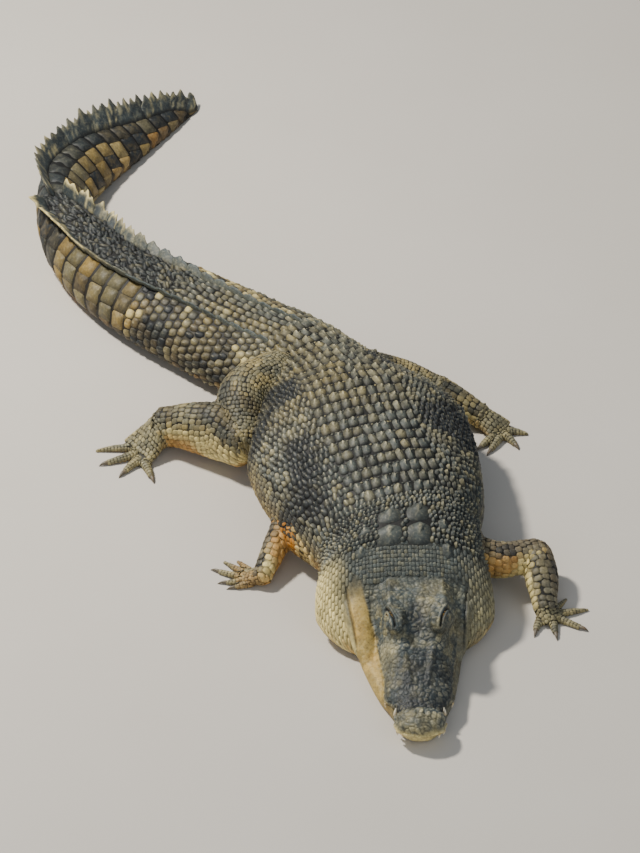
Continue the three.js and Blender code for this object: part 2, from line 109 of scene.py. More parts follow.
TOP_SQUARE = profile((440, 2.2), (1300, 2.1), (2000, 2), (2700, 2.1), (3000, 2.3), (3500, 2))
BOTTOM_SQUARE = 2.7
SAG = profile(
    (440, -29), (600, -33), (700, -35), (800, -24), (900, -9), (1030, 0), (1200, 0), (1592, 18), (1900, 0),
)
LEAN = profile((3060, 0), (3300, 22), (3520, 38), (4290, 38))
SINGLE_FROM = 3290
CREST_HEIGHT = profile(
    (2050, 16), (2400, 28), (2700, 46), (3000, 64), (3200, 74), (3400, 84), (3665, 102), (3815, 114),
    (3990, 108), (4180, 96), (4290, 66),
)
CREST_SPREAD = profile((2050, 84), (2400, 80), (2700, 80), (3000, 78), (3220, 58), (3290, 40))

LIP_WIDTH = profile(
    (4, 22), (14, 50), (40, 77), (85, 86), (120, 73), (150, 88), (205, 116), (260, 114), (330, 120),
    (420, 132), (500, 144), (590, 156), (640, 152),
)
LIP_HEIGHT = profile(
    (4, 56), (60, 47), (120, 60), (205, 42), (290, 62), (380, 58), (460, 74), (540, 104), (640, 128),
)
CHEEK_WIDTH = profile(
    (4, 20), (14, 46), (40, 72), (85, 80), (120, 70), (150, 84), (205, 108), (330, 108), (420, 120),
    (500, 134), (590, 148), (640, 146),
)
CHEEK_HEIGHT = profile(
    (4, 72), (60, 84), (120, 82), (205, 84), (330, 102), (460, 138), (560, 162), (640, 176),
)
TOP_WIDTH = profile(
    (4, 10), (14, 24), (40, 44), (85, 50), (120, 44), (205, 62), (330, 66), (400, 78), (450, 98), (590, 97),
    (640, 90),
)
TOP_HEIGHT = profile(
    (4, 84), (14, 97), (60, 114), (120, 104), (205, 116), (300, 142), (370, 176), (430, 226), (500, 240),
    (590, 238), (640, 216),
)
MIDDLE_HEIGHT = profile(
    (4, 86), (14, 101), (60, 118), (120, 106), (205, 120), (300, 146), (370, 176), (430, 212), (500, 234),
    (590, 236), (640, 216),
)
JAW_WIDTH = profile(
    (10, 12), (30, 32), (60, 56), (85, 72), (120, 84), (160, 98), (245, 132), (330, 154), (430, 174),
    (520, 188), (620, 197), (680, 190),
)
JAW_SAG = profile((150, 0), (300, -13), (680, -30))
CHIN_HEIGHT = profile((10, 36), (40, 14), (90, -7), (680, -7))
MOUTH_LAP = 5
HEAD_START, HEAD_END = 4, 640
JAW_START, JAW_END = 10, 680
ORBIT = ((428, 74, 206), (37, 60, 40))
EYE = ((424, 89, 222), 20)
NOSTRILS = ((66, 0, 104), (42, 34, 24))
UPPER_TEETH = [(24, 16), (50, 21), (78, 26), (190, 25), (218, 30), (250, 22)]
LOWER_TEETH = [(122, 27)]

# Sections of a limb are (x, y, z, half width, half height).
LIMBS = {
    "arm_right": {
        "upper": [(60, -640, 106, 84, 90), (-40, -560, 116, 80, 84), (-118, -476, 96, 50, 54)],
        "lower": [(-118, -476, 96, 50, 54), (-158, -580, 70, 46, 46), (-199, -685, 38, 38, 34)],
        "foot": [(-199, -685, 34, 32, 30), (-232, -668, 24, 40, 24), (-262, -650, 15, 42, 16)],
        "toes": [
            [(-232, -690, 11, 13, 12), (-268, -700, 9, 11, 10), (-288, -704, 6, 9, 8)],
            [(-256, -676, 11, 12, 12), (-292, -680, 9, 10, 10), (-318, -680, 6, 9, 8)],
            [(-262, -656, 11, 12, 12), (-310, -640, 9, 10, 10), (-346, -622, 6, 9, 8)],
            [(-256, -634, 11, 11, 11), (-296, -602, 8, 9, 9), (-330, -568, 4, 5, 5)],
            [(-236, -626, 11, 10, 10), (-262, -592, 7, 8, 8), (-284, -564, 3, 5, 5)],
        ],
    },
    "arm_left": {
        "upper": [(470, -650, 130, 74, 80), (600, -682, 110, 64, 68), (738, -650, 104, 60, 60)],
        "lower": [(738, -650, 104, 60, 60), (756, -736, 82, 60, 52), (764, -848, 38, 45, 35)],
        "foot": [(764, -848, 32, 42, 28), (776, -866, 26, 44, 22), (792, -886, 15, 46, 16)],
        "toes": [
            [(748, -880, 11, 14, 13), (736, -912, 9, 12, 11), (732, -930, 7, 10, 9)],
            [(790, -890, 11, 13, 12), (794, -926, 9, 12, 10), (797, -946, 7, 10, 9)],
            [(812, -878, 11, 13, 12), (848, -898, 9, 11, 10), (880, -916, 7, 10, 9)],
            [(816, -850, 11, 12, 12), (866, -836, 9, 10, 10), (912, -822, 3, 5, 5)],
            [(800, -830, 11, 11, 11), (822, -796, 7, 8, 8), (840, -766, 3, 5, 5)],
        ],
    },
    "leg_right": {
        "upper": [(-150, 240, 170, 110, 120), (-266, 120, 196, 98, 100), (-276, -48, 120, 88, 94)],
        "lower": [
            (-276, -48, 120, 88, 94), (-350, 8, 122, 90, 112),
            (-450, 52, 110, 78, 98), (-552, 90, 86, 60, 78),
        ],
        "foot": [(-552, 90, 78, 58, 70), (-602, 62, 50, 70, 46), (-646, 28, 22, 84, 23)],
        "toes": [
            [(-624, -26, 13, 16, 15), (-608, -66, 11, 13, 12), (-596, -100, 7, 10, 10)],
            [(-640, -8, 13, 16, 15), (-672, -44, 11, 13, 12), (-692, -72, 7, 10, 10)],
            [(-650, 24, 13, 16, 15), (-706, -2, 11, 13, 12), (-752, -20, 7, 10, 10)],
            [(-654, 60, 13, 15, 14), (-728, 58, 10, 12, 11), (-796, 52, 4, 6, 6)],
        ],
    },
    "leg_left": {
        "upper": [(150, 290, 150, 90, 110), (290, 296, 126, 82, 88), (420, 262, 98, 68, 70)],
        "lower": [(420, 262, 98, 68, 70), (500, 230, 76, 58, 58), (574, 200, 50, 44, 46)],
        "foot": [(574, 200, 46, 42, 42), (616, 172, 34, 54, 32), (648, 150, 18, 64, 18)],
        "toes": [
            [(622, 124, 13, 16, 15), (594, 96, 11, 13, 12), (576, 74, 7, 10, 10)],
            [(642, 122, 13, 16, 15), (626, 86, 11, 13, 12), (610, 56, 7, 10, 10)],
            [(656, 136, 13, 16, 15), (680, 110, 11, 13, 12), (694, 88, 7, 10, 10)],
            [(660, 158, 13, 15, 14), (706, 154, 10, 12, 11), (742, 148, 4, 6, 6)],
        ],
    },
}

# ---------------------------------------------------------------- the line of the body


def heading(along):
    """Heading of the body towards the tail, in radians left of +Y."""
    turned = HEAD_TURN
    for start, over, turn in BENDS:
        t = np.clip((along - start) / over, 0, 1)
        turned = turned + turn * t * t * (3 - 2 * t)
    return np.radians(turned)


def trace_body():
    """Points of the middle line from the snout to the tip of the tail."""
    turn = heading(np.arange(0, TAIL_END, TRACE_STEP) + TRACE_STEP / 2)
    moves = np.stack([-np.sin(turn), np.cos(turn)], -1) * TRACE_STEP
    return np.vstack([SNOUT_TIP, SNOUT_TIP + np.cumsum(moves, 0)])


TRACE = trace_body()


def body_point(along, left, up):
    """Points of the body from their place along it, distance to the left and height."""
    along, left, up = np.broadcast_arrays(np.asarray(along, float), left, up)
    t = along / TRACE_STEP
    i = np.clip(t.astype(int), 0, len(TRACE) - 2)
    origin = TRACE[i] + (TRACE[i + 1] - TRACE[i]) * (t - i)[..., None]
    turn = heading(along)
    return np.stack([origin[..., 0] + left * np.cos(turn), origin[..., 1] + left * np.sin(turn), up], -1)


def head_place(points):
    """(along, left) of points of the head, where the body line is straight."""
    turn = math.radians(HEAD_TURN)
    x, y = points[..., 0] - SNOUT_TIP[0], points[..., 1] - SNOUT_TIP[1]
    return y * math.cos(turn) - x * math.sin(turn), x * math.cos(turn) + y * math.sin(turn)


def eye_shift():
    """From the line's millimetres to the frame's metres: where the eye nodes are."""
    low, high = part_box("eye_right")
    (along, left, up), _ = EYE
    place = body_point(along, -left, up)
    return np.array([(low[i] + high[i]) / 2 * 1000 - place[i] for i in range(2)] + [0])


SHIFT = eye_shift()


def to_frame(points):
    """Millimetres of the line as metres of the frame."""
    return (points + SHIFT) / 1000


def from_frame(points):
    """Metres of the frame as millimetres of the line."""
    return points * 1000 - SHIFT


# ---------------------------------------------------------------- sections


def signed_power(value, power):
    return np.sign(value) * np.abs(value) ** power


def turns(around):
    """Angles round a section, from its top towards the left."""
    return np.pi / 2 - 2 * np.pi * np.arange(around) / around


def body_section(along, around, grow=0.0):
    """Sections of the body as (left, up), standing on the floor."""
    along = np.atleast_1d(np.asarray(along, float))[:, None]
    angle = turns(around)[None]
    height = HEIGHT(along)
    waist = height * WAIST_SHARE(along)
    upper = np.sin(angle) > 0
    power = np.where(upper, 2 / TOP_SQUARE(along), 2 / BOTTOM_SQUARE)
    lean = np.radians(LEAN(along))

    def ring(extra):
        left = SAG(along) + (HALF_WIDTH(along) + extra) * signed_power(np.cos(angle), power)
        up = waist + (np.where(upper, height - waist, waist) + extra) * signed_power(np.sin(angle), power)
        return left * np.cos(lean) - up * np.sin(lean), left * np.sin(lean) + up * np.cos(lean)

    lift = -SINK - ring(0.0)[1].min(1, keepdims=True)
    left, up = ring(grow)
    return left, up + lift


def body_rings(start, end, step, around, grow=0.0):
    """Rings of the body from start to end."""
    along = np.linspace(start, end, int((end - start) / step) + 1)
    left, up = body_section(along, around, grow)
    return along, body_point(along[:, None], left, up)


def smooth_loop(points, cuts):
    """Closed loops (places, n, 2) rounded off through their points, with cuts points for each one."""
    a, b, c, d = (np.roll(points, k, axis=1) for k in (1, 0, -1, -2))
    t = (np.arange(cuts) / cuts)[None, None, :, None]
    a, b, c, d = (q[:, :, None] for q in (a, b, c, d))
    curve = b + 0.5 * t * (c - a + t * (2 * a - 5 * b + 4 * c - d + t * (3 * (b - c) + d - a)))
    return curve.reshape(len(points), -1, points.shape[2])


def mirrored(half, grow):
    """Whole loops from their left halves, given from the top middle to the bottom middle."""
    half = np.stack([np.stack(p, -1) for p in half], 1)
    centre = (half[:, :1] + half[:, -1:]) / 2 * [0, 1]
    out = half - centre
    half = half + grow * out / np.maximum(np.linalg.norm(out, axis=-1, keepdims=True), 1)
    return np.concatenate([half, half[:, -2:0:-1] * [-1, 1]], 1)


def upper_head_half(s):
    """The left half of the upper head's sections."""
    lip, low, cheek, cheek_up, top, top_up = (
        f(s) for f in (LIP_WIDTH, LIP_HEIGHT, CHEEK_WIDTH, CHEEK_HEIGHT, TOP_WIDTH, TOP_HEIGHT)
    )
    middle = MIDDLE_HEIGHT(s)
    return [
        (0 * s, middle), (top * 0.4, (top_up + middle) / 2), (top * 0.86, top_up), (top, top_up - 5),
        (cheek * 0.45 + top * 0.55, cheek_up * 0.4 + top_up * 0.6), (cheek, cheek_up),
        (lip * 0.6 + cheek * 0.4, low * 0.5 + cheek_up * 0.5), (lip, low), (0 * s, low),
    ]


def jaw_half(s):
    """The left half of the lower jaw's sections."""
    wide, lip, chin = JAW_WIDTH(s), LIP_WIDTH(s), CHIN_HEIGHT(s)
    top = LIP_HEIGHT(s) + MOUTH_LAP
    return [
        (0 * s, top), (lip - 4, top), (wide * 0.6 + lip * 0.4, chin + (top - chin) * 0.9),
        (wide, chin + (top - chin) * 0.6), (wide * 0.95, chin + (top - chin) * 0.3), (wide * 0.7, chin),
        (0 * s, chin),
    ]


def head_rings(half, start, end, sag, grow=0.0):
    """Rings of a jaw, closer together at the round tip of the snout."""
    along = start + (end - start) * np.linspace(0, 1, 110) ** 1.25
    loop = smooth_loop(mirrored(half(along), grow), 6)
    return along, body_point(along[:, None], loop[..., 0] + sag(along)[:, None], loop[..., 1])


def line_points(line, count):
    """A smooth line through points, with its direction."""
    p = np.array(line, float)[:, :3]
    p = np.vstack([2 * p[0] - p[1], p, 2 * p[-1] - p[-2]])
    t = np.linspace(0, len(line) - 1, count)
    i = np.clip(t.astype(int), 0, len(line) - 2)
    t = (t - i)[:, None]
    a, b, c, d = p[i], p[i + 1], p[i + 2], p[i + 3]
    points = b + 0.5 * t * (c - a + t * (2 * a - 5 * b + 4 * c - d + t * (3 * (b - c) + d - a)))
    ahead = np.gradient(points, axis=0)
    return points, ahead / np.linalg.norm(ahead, axis=1, keepdims=True)


CAP_STEPS = 5


def tube(line, count, around, grow=0.0, reach=0.7):
    """Rings along a line of sections, closed in over both ends. Also the length to each ring."""
    points, ahead = line_points(line, count)
    place = np.linspace(0, len(line) - 1, count)
    wide, deep = (profile(*[(i, section[k]) for i, section in enumerate(line)])(place) + grow for k in (3, 4))
    across = np.cross(ahead, [0, 0, 1])
    across /= np.linalg.norm(across, axis=1, keepdims=True)
    up = np.cross(across, ahead)
    lean = np.linspace(np.pi / 2, 0, CAP_STEPS, endpoint=False)[1:]
    for end, way in ((0, -1), (-1, 1)):
        out = way * reach * min(wide[end], deep[end])
        extra = points[end] + ahead[end] * out * np.sin(lean)[:, None]
        sizes = np.cos(lean)
        blocks = [
            (points, extra), (wide, wide[end] * sizes), (deep, deep[end] * sizes),
            *((axis, np.repeat(axis[end][None], len(lean), 0)) for axis in (across, up, ahead)),
        ]
        if way < 0:
            points, wide, deep, across, up, ahead = (np.concatenate([new, old]) for old, new in blocks)
        else:
            points, wide, deep, across, up, ahead = (np.concatenate([old, new[::-1]]) for old, new in blocks)
    angle = turns(around)[None, :, None]
    rings = points[:, None] + across[:, None] * wide[:, None, None] * np.cos(angle)
    rings = rings + up[:, None] * deep[:, None, None] * np.sin(angle)
    length = np.r_[0, np.cumsum(np.linalg.norm(np.diff(points, axis=0), axis=1))]
    return length, rings


def ellipsoid(place, size, side=1, grow=0.0):
    """Rings of an ellipsoid of the head."""
    along, left, up = place
    lean = np.linspace(-1, 1, 25)[1:-1] * np.pi / 2
    angle = turns(48)[None]
    y = along + (size[1] + grow) * np.sin(lean)[:, None]
    x = side * left + (size[0] + grow) * np.cos(lean)[:, None] * np.cos(angle)
    z = up + (size[2] + grow) * np.cos(lean)[:, None] * np.sin(angle)
    return body_point(y, x, z)


def ring_faces(rings):
    """Points and faces of a closed skin over rings."""
    count, around = rings.shape[:2]
    i = np.arange(count - 1)[:, None] * around
    j, k = np.arange(around)[None], (np.arange(around)[None] + 1) % around
    quads = np.stack([i + j, i + k, i + around + k, i + around + j], -1).reshape(-1, 4).tolist()
    ends = [list(range(around))[::-1], list(range((count - 1) * around, count * around))]
    return rings.reshape(-1, 3), quads + ends


# ---------------------------------------------------------------- sheets that scales are laid on

SHEET_AROUND = 240
COAT = 4.0
BURIED, LOOSE = 12.0, 28.0
LOWEST_SCALE = 4.0
FLOOR_GAP = 0.5
PATCH = 0.0015
MARKS = ("khaki", "ochre", "pale", "dark", "mud")


class Sheet:
    """The surface round a line. A place on it is how far along and how far across, to the left of its top."""

    def __init__(self, name, along, rings, patch):
        self.name, self.along, self.patch = name, along, patch
        closed = np.concatenate([rings, rings[:, :1]], 1)
        steps = np.linalg.norm(np.diff(closed, axis=1), axis=2)
        length = np.concatenate([np.zeros((len(rings), 1)), np.cumsum(steps, 1)], 1)
        self.girth = length[:, -1]
        even = np.linspace(0, 1, SHEET_AROUND + 1)
        self.grid = np.empty((len(rings), SHEET_AROUND + 1, 3))
        for ring, loop, row in zip(closed, length, self.grid):
            for axis in range(3):
                row[:, axis] = np.interp(even * loop[-1], loop, ring[:, axis])

    def girth_at(self, along):
        return np.interp(along, self.along, self.girth)

    def at(self, along, across):
        """Points of the sheet."""
        along, across = np.broadcast_arrays(np.asarray(along, float), np.asarray(across, float))
        i = np.clip(np.searchsorted(self.along, along, side="right") - 1, 0, len(self.along) - 2)
        t = np.clip((along - self.along[i]) / (self.along[i + 1] - self.along[i]), 0, 1)[..., None]
        c = (across / self.girth_at(along)) % 1 * SHEET_AROUND
        k = np.minimum(c.astype(int), SHEET_AROUND - 1)
        u = (c - k)[..., None]
        before, after = (self.grid[i + n, k] * (1 - u) + self.grid[i + n, k + 1] * u for n in (0, 1))
        return before * (1 - t) + after * t

    def facing(self, along, across, step=5.0):
        """Directions out of the sheet."""
        ahead = self.at(along + step, across) - self.at(along - step, across)
        left = self.at(along, across + step) - self.at(along, across - step)
        out = np.cross(left, ahead)
        return out / np.maximum(np.linalg.norm(out, axis=-1, keepdims=True), 1e-9)

    def on_patch(self, along, across):
        """Place on the unwrapped skin, where every sheet has its own rectangle."""
        low_u, low_v, wide, tall = self.patch
        u = np.clip((along - self.along[0]) / (self.along[-1] - self.along[0]), 0.004, 0.996)
        v = np.clip((across / self.girth_at(along) + 0.5) % 1, 0.01, 0.99)
        return np.stack([low_u + wide * u, low_v + tall * v], -1)


LIMB_STEPS = {"upper": (44, 48, 0.7), "lower": (44, 48, 0.7), "foot": (26, 48, 0.6), "toe": (22, 20, 0.5)}
TOE_COAT = -1.5


def limb_tubes(grow):
    """Every length of the four limbs as (name, length, rings)."""
    for limb, parts in LIMBS.items():
        for part in ("upper", "lower", "foot"):
            count, around, reach = LIMB_STEPS[part]
            yield f"{limb}_{part}", *tube(parts[part], count, around, -grow, reach)
        count, around, reach = LIMB_STEPS["toe"]
        for i, toe in enumerate(parts["toes"]):
            yield f"{limb}_toe_{i + 1}", *tube(toe, count, around, -min(grow, TOE_COAT), reach)


def make_sheets():
    """Sheets round the body and every length of the limbs, each with its own patch."""
    body = body_rings(BODY_START, TAIL_END, 10, 180, -COAT)
    sheets = {"body": Sheet("body", *body, (0.0, 0.0, 1.0, 0.5))}
    for i, (name, length, rings) in enumerate(limb_tubes(COAT)):
        corner = (i % 6 / 6, 0.5 + i // 6 / 12)
        sheets[name] = Sheet(name, length, rings, (*corner, 1 / 6.3, 1 / 12.6))
    return sheets


# ---------------------------------------------------------------- how the animal is marked


def smoothstep(low, high, value):
    """0 below low and 1 above high, with a soft change between."""
    t = np.clip((value - low) / (high - low), 0, 1)
    return t * t * (3 - 2 * t)


def band(value, low, high, soft):
    """1 between low and high, going to 0 over soft on both sides."""
    return smoothstep(low - soft, low + soft, value) * (1 - smoothstep(high - soft, high + soft, value))


def bell(value, width):
    """1 at 0, falling softly over a width."""
    return np.exp(-((value / width) ** 2))


LATTICE = 32


def blotch(points, size, seed):
    """Smooth random values from 0 to 1, in lumps of a size."""
    table = np.random.default_rng(seed).random((LATTICE, LATTICE, LATTICE))
    place = np.asarray(points) / size
    cell = np.floor(place).astype(int)
    t = place - cell
    t = t * t * (3 - 2 * t)
    value = 0
    for corner in np.ndindex(2, 2, 2):
        share = np.where(np.array(corner) > 0, t, 1 - t).prod(-1)
        value = value + share * table[tuple(np.moveaxis((cell + corner) % LATTICE, -1, 0))]
    return value


# Dark patches on the right side as (along, across, length, width): blotches, partly painted shade where the
# right thigh meets the body.
DARK_PATCHES_AND_SHADE = ((1640, -215, 90, 70), (1030, -290, 80, 60), (1500, -330, 60, 50), (860, -230, 60, 50))


def body_marks(along, across, girth, points):
    """Marks of the neck, trunk and tail."""
    share = np.abs(across) / girth * 2
    # The animal's right is the lit side: khaki, ochre and jowl cream are stronger there, partly as painted
    # light; the mud on the right shoulder is a real stain.
    right = smoothstep(40, -40, across)
    lumps, small, large = blotch(points, 80, 1), blotch(points, 30, 2), blotch(points, 190, 3)
    tail = smoothstep(2000, 2500, along)
    far_tail = smoothstep(2500, 2750, along)
    neck = 1 - smoothstep(820, 1050, along)
    jowl = 1 - smoothstep(640, 760, along)
    under = smoothstep(0.72, 0.9, share)
    side = smoothstep(0.14, 0.26, share)
    middle = 1 - smoothstep(0.15, 0.45, share)
    khaki = 0.1 + 0.3 * band(along, 950, 2600, 150) * smoothstep(0.4, 0.75, small)
    khaki = khaki + 0.35 * band(along, 1400, 2500, 200) * (0.3 + 0.7 * right) + 0.6 * far_tail * side
    ochre = 0.65 * band(along, 880, 1750, 80) * smoothstep(0.42, 0.62, share) * (0.1 + 0.9 * right)
    ochre = ochre + 0.6 * tail * side * smoothstep(0.3, 0.55, lumps)
    ochre = ochre + 0.25 * jowl * right * smoothstep(0.4, 0.6, share)
    pale = 1.0 * jowl * smoothstep(0.24, 0.42, share) * (0.25 + 0.75 * right)
    pale = pale + 0.8 * under * (1 - 0.6 * far_tail)
    pale = pale + 0.8 * side * smoothstep(0.52, 0.66, lumps) * band(along, 1900, 2700, 120)
    dark = 0.75 * smoothstep(0.55, 0.66, large) * side * (1 - under) * smoothstep(900, 1100, along)
    dark = dark + 0.12 * side * far_tail + 0.2 * side * smoothstep(3100, 3400, along)
    clear = 1 - smoothstep(0.45, 0.7, share) * (along < 3300)
    dark = dark + 0.6 * side * smoothstep(0.58, 0.76, lumps) * far_tail * clear
    dark = dark + 0.8 * smoothstep(2300, 2800, along) * (1 - side)
    dark = dark + 0.25 * neck * middle * smoothstep(640, 780, along)
    # painted shade: the shaded left side of the neck and trunk is darker
    dark = dark + 0.32 * (1 - right) * smoothstep(0.12, 0.35, share) * band(along, 620, 1900, 90)
    dark = dark + 0.18 * smoothstep(0.45, 0.7, lumps) * band(along, 950, 1500, 100)
    dark = dark + 0.8 * smoothstep(3850, 4150, along) * (1 - 0.7 * smoothstep(0.45, 0.6, share))
    for place, aside, long, wide in DARK_PATCHES_AND_SHADE:
        patch = bell(np.hypot((along - place) / long, (across - aside) / wide), 1)
        dark = dark + 0.75 * patch * (0.4 + 0.6 * small)
    mud = 0.5 * (1 - smoothstep(20, 90, points[..., 2])) * smoothstep(0.35, 0.7, small)
    mud = mud + 0.55 * right * band(along, 690, 980, 60) * smoothstep(0.52, 0.66, share)
    return dict(zip(MARKS, (khaki, ochre, pale * (1 - 0.8 * np.clip(dark, 0, 1)), dark, mud)))


def limb_marks(name, across, girth, points):
    """Marks of a limb: an arm is creamy on one side and below, a leg below and on its shank."""
    turned = (across / girth + 0.5) % 1 - 0.5
    share = np.abs(turned) * 2
    small, large, wide = blotch(points, 30, 5), blotch(points, 80, 6), blotch(points, 120, 7)
    under = smoothstep(0.5, 0.8, share)
    khaki = 0.3 + 0.3 * small
    if name.startswith("arm"):
        edge = 0.08 if "upper" in name else 0.07
        creamy = smoothstep(edge, edge + 0.08, turned) if "left" in name else smoothstep(-0.08, 0.04, -turned)
        creamy = np.maximum(creamy, under)
        pale = 0.05 + creamy * (0.45 + 0.3 * smoothstep(0.3, 0.6, small))
        ochre = 0.15 + 0.55 * creamy * smoothstep(0.25, 0.55, wide)
        dark = (0.28 + 0.4 * smoothstep(0.45, 0.6, large)) * (1 - creamy)
        khaki = khaki * (0.3 + 0.7 * creamy)
        mud = 0.7 * smoothstep(0.5, 0.68, wide) * (0.15 + 0.85 * creamy)
        mud = mud + 0.35 * (name == "arm_right_upper") * smoothstep(0.3, 0.6, small)
    else:
        lower = 1.0 * ("lower" in name)
        pale = 0.15 * small + 0.45 * under + 0.5 * lower * smoothstep(0.3, 0.45, share)
        ochre = 0.2 * smoothstep(0.4, 0.7, small) + 0.35 * smoothstep(0.35, 0.5, share)
        dark = 0.6 * smoothstep(0.48, 0.68, large) * (1 - smoothstep(0.3, 0.5, share))
        mud = 0.75 * smoothstep(0.4, 0.65, share) * smoothstep(0.3, 0.55, wide)
    if "foot" in name or "toe" in name:
        khaki, ochre, mud = 0.5 * khaki, 0.4 * ochre, 0.5 * mud
        pale, dark = 0.12 + 0.3 * small, 0.12 + 0.3 * dark
    return dict(zip(MARKS, (khaki, ochre, pale * (1 - 0.8 * dark), dark, mud)))


YELLOW_INNER = ((430, 128), (470, 140), (576, 172), (640, 186))


def on_mandible(along, left, up):
    """1 on the smooth mandible, under and beyond the lip and out to the corner of the jaw."""
    inner = np.interp(along, *zip(*YELLOW_INNER)) + 24 * (left > 0)
    behind = smoothstep(inner - 6, inner + 6, np.abs(left)) * smoothstep(425, 450, along)
    beyond = smoothstep(-3, 4, np.abs(left) - LIP_WIDTH(along)) * band(along, 150, 480, 15)
    under = 1 - smoothstep(LIP_HEIGHT(along) + 4, LIP_HEIGHT(along) + 10, up)
    return np.maximum(np.maximum(under, beyond), behind)


def head_marks(points):
    """Marks of the head."""
    along, left = head_place(points)
    up = points[..., 2]
    lip = LIP_HEIGHT(along)
    lumps, small, large = blotch(points, 60, 8), blotch(points, 22, 9), blotch(points, 110, 10)
    # The animal's right is the lit side: the mandible's ochre, khaki and pale and the cream lip edge are
    # stronger there, partly as painted light.
    right = (left < 0) * 1.0
    jaw = on_mandible(along, left, up)
    lip_edge = band(up - lip, 0, 14, 5) * (1 - smoothstep(420, 520, along)) * (1 - jaw)
    tip = (1 - smoothstep(50, 90, along)) * (0.08 + 0.92 * (1 - smoothstep(52, 84, up)))
    back = smoothstep(400, 620, along)
    jaw = jaw * (1 - 0.75 * smoothstep(530, 620, along))
    khaki = 0.25 * smoothstep(0.45, 0.8, lumps) + jaw * (0.3 + 0.35 * right) + 0.08 * back * (1 - jaw)
    ochre = jaw * smoothstep(120, 220, along) * (0.05 + 0.85 * right) * (0.7 + 0.3 * lumps)
    pale = 0.25 * smoothstep(0.5, 0.8, small) + 0.22 * smoothstep(0.5, 0.8, large)
    pale = pale * (1 - jaw) * (1 - 0.8 * back)
    pale = pale + (0.2 + 0.35 * right) * lip_edge + 0.7 * tip
    pale = pale + 0.2 * jaw * right * smoothstep(140, 260, along)
    dark = 0.6 * bell(along - 425, 60) * bell(left, 36) * (1 - jaw)
    dark = dark + 0.7 * bell(along - 118, 18) * (up > lip + 12)
    shade = 0.3 * smoothstep(0.5, 0.8, 1 - large) + 0.45 * band(along, 110, 330, 40)
    dark = dark + (shade + 0.08 * smoothstep(480, 600, along)) * (1 - jaw)
    mud = 0.1 * jaw * smoothstep(0.5, 0.8, lumps)
    return dict(zip(MARKS, (khaki, ochre, pale * (1 - 0.7 * dark), dark, mud)))


def hide_marks(name, along, across, girth, points):
    """Marks of the hide at places on a sheet, each from 0 to 1."""
    if name == "body":
        marks = body_marks(along, across, girth, points)
    else:
        marks = limb_marks(name, across, girth, points)
    return {key: np.clip(value, 0, 1) for key, value in marks.items()}


# ---------------------------------------------------------------- shapes of scales


def start_afresh():
    """Nothing is selected or being edited."""
    if bpy.context.mode != "OBJECT":
        bpy.ops.object.mode_set(mode="OBJECT")
    bpy.ops.object.select_all(action="DESELECT")


def close_solid():
    """Faces of the solid being edited are turned outwards, and its editing ends."""
    bpy.ops.mesh.select_all(action="SELECT")
    bpy.ops.mesh.normals_make_consistent(inside=False)
    bpy.ops.object.mode_set(mode="OBJECT")


def own_points(piece):
    """Points of an object as it holds them."""
    return np.array([tuple(vertex.co) for vertex in piece.data.vertices])


def take_mesh():
    """Points and faces of the active object, which is then deleted."""
    piece = bpy.context.active_object
    points = own_points(piece)
    faces = [list(face.vertices) for face in piece.data.polygons]
    mesh = piece.data
    bpy.data.objects.remove(piece)
    bpy.data.meshes.remove(mesh)
    return points, faces


RIDGE_SHARP = 3.2
RIDGE_ALONG = ([-0.95, -0.4, 0.55, 0.95], [0.1, 0.4, 1, 0.5])
LOWEST_FRONT = 0.12


class Shape:
    """A low closed solid, raised from a round outline through rings of (share, height, crown) to a top.
    Its outline is squared, its front is lower by its tilt, and a keel raises its middle line, most behind."""

    def __init__(self, around, square, rings, top, keel=0.0, tilt=0.3, turned=True):
        start_afresh()
        turn = math.pi / around if turned else 0
        bpy.ops.mesh.primitive_circle_add(
            vertices=around, radius=1, fill_type="NGON", location=(0, 0, rings[0][1]), rotation=(0, 0, turn)
        )
        bpy.ops.object.transform_apply()
        bpy.ops.object.mode_set(mode="EDIT")
        bpy.ops.mesh.select_all(action="SELECT")
        for (before, low, _), (share, height, _) in zip(rings, rings[1:]):
            bpy.ops.mesh.extrude_region_move(TRANSFORM_OT_translate={"value": (0, 0, height - low)})
            bpy.ops.transform.resize(value=(share / before, share / before, 1))
        bpy.ops.mesh.poke(offset=top[0] - rings[-1][1])
        close_solid()
        points, self.faces = take_mesh()
        radius = np.hypot(points[:, 0], points[:, 1])
        angle = np.arctan2(points[:, 1], points[:, 0])
        x = radius * signed_power(np.cos(angle), 2 / square)
        y = radius * signed_power(np.sin(angle), 2 / square)
        z = points[:, 2]
        heights, crowns = zip(*[(height, crown) for _, height, crown in rings], top)
        raised = z > 0
        ridge = raised * np.clip(1 - np.abs(x) * RIDGE_SHARP, 0, 1) * np.interp(y, *RIDGE_ALONG)
        # painted light: the crown is lower on the front of each scale and highest on its rear keel, painting
        # shade in front and a highlight behind
        lit = np.interp(y, [-1, -0.3, 0.5, 1], [1 - tilt, 1 - 0.5 * tilt, 1, 0.9])
        self.crown = np.clip(np.interp(z, heights, crowns) * lit + min(keel, 1) * 0.45 * ridge, 0, 1)
        leaning = z * np.maximum(1 + tilt * y, LOWEST_FRONT)
        self.points = np.stack([x, y, np.where(raised, leaning, z) + keel * ridge], -1)


SKIRT = -0.9


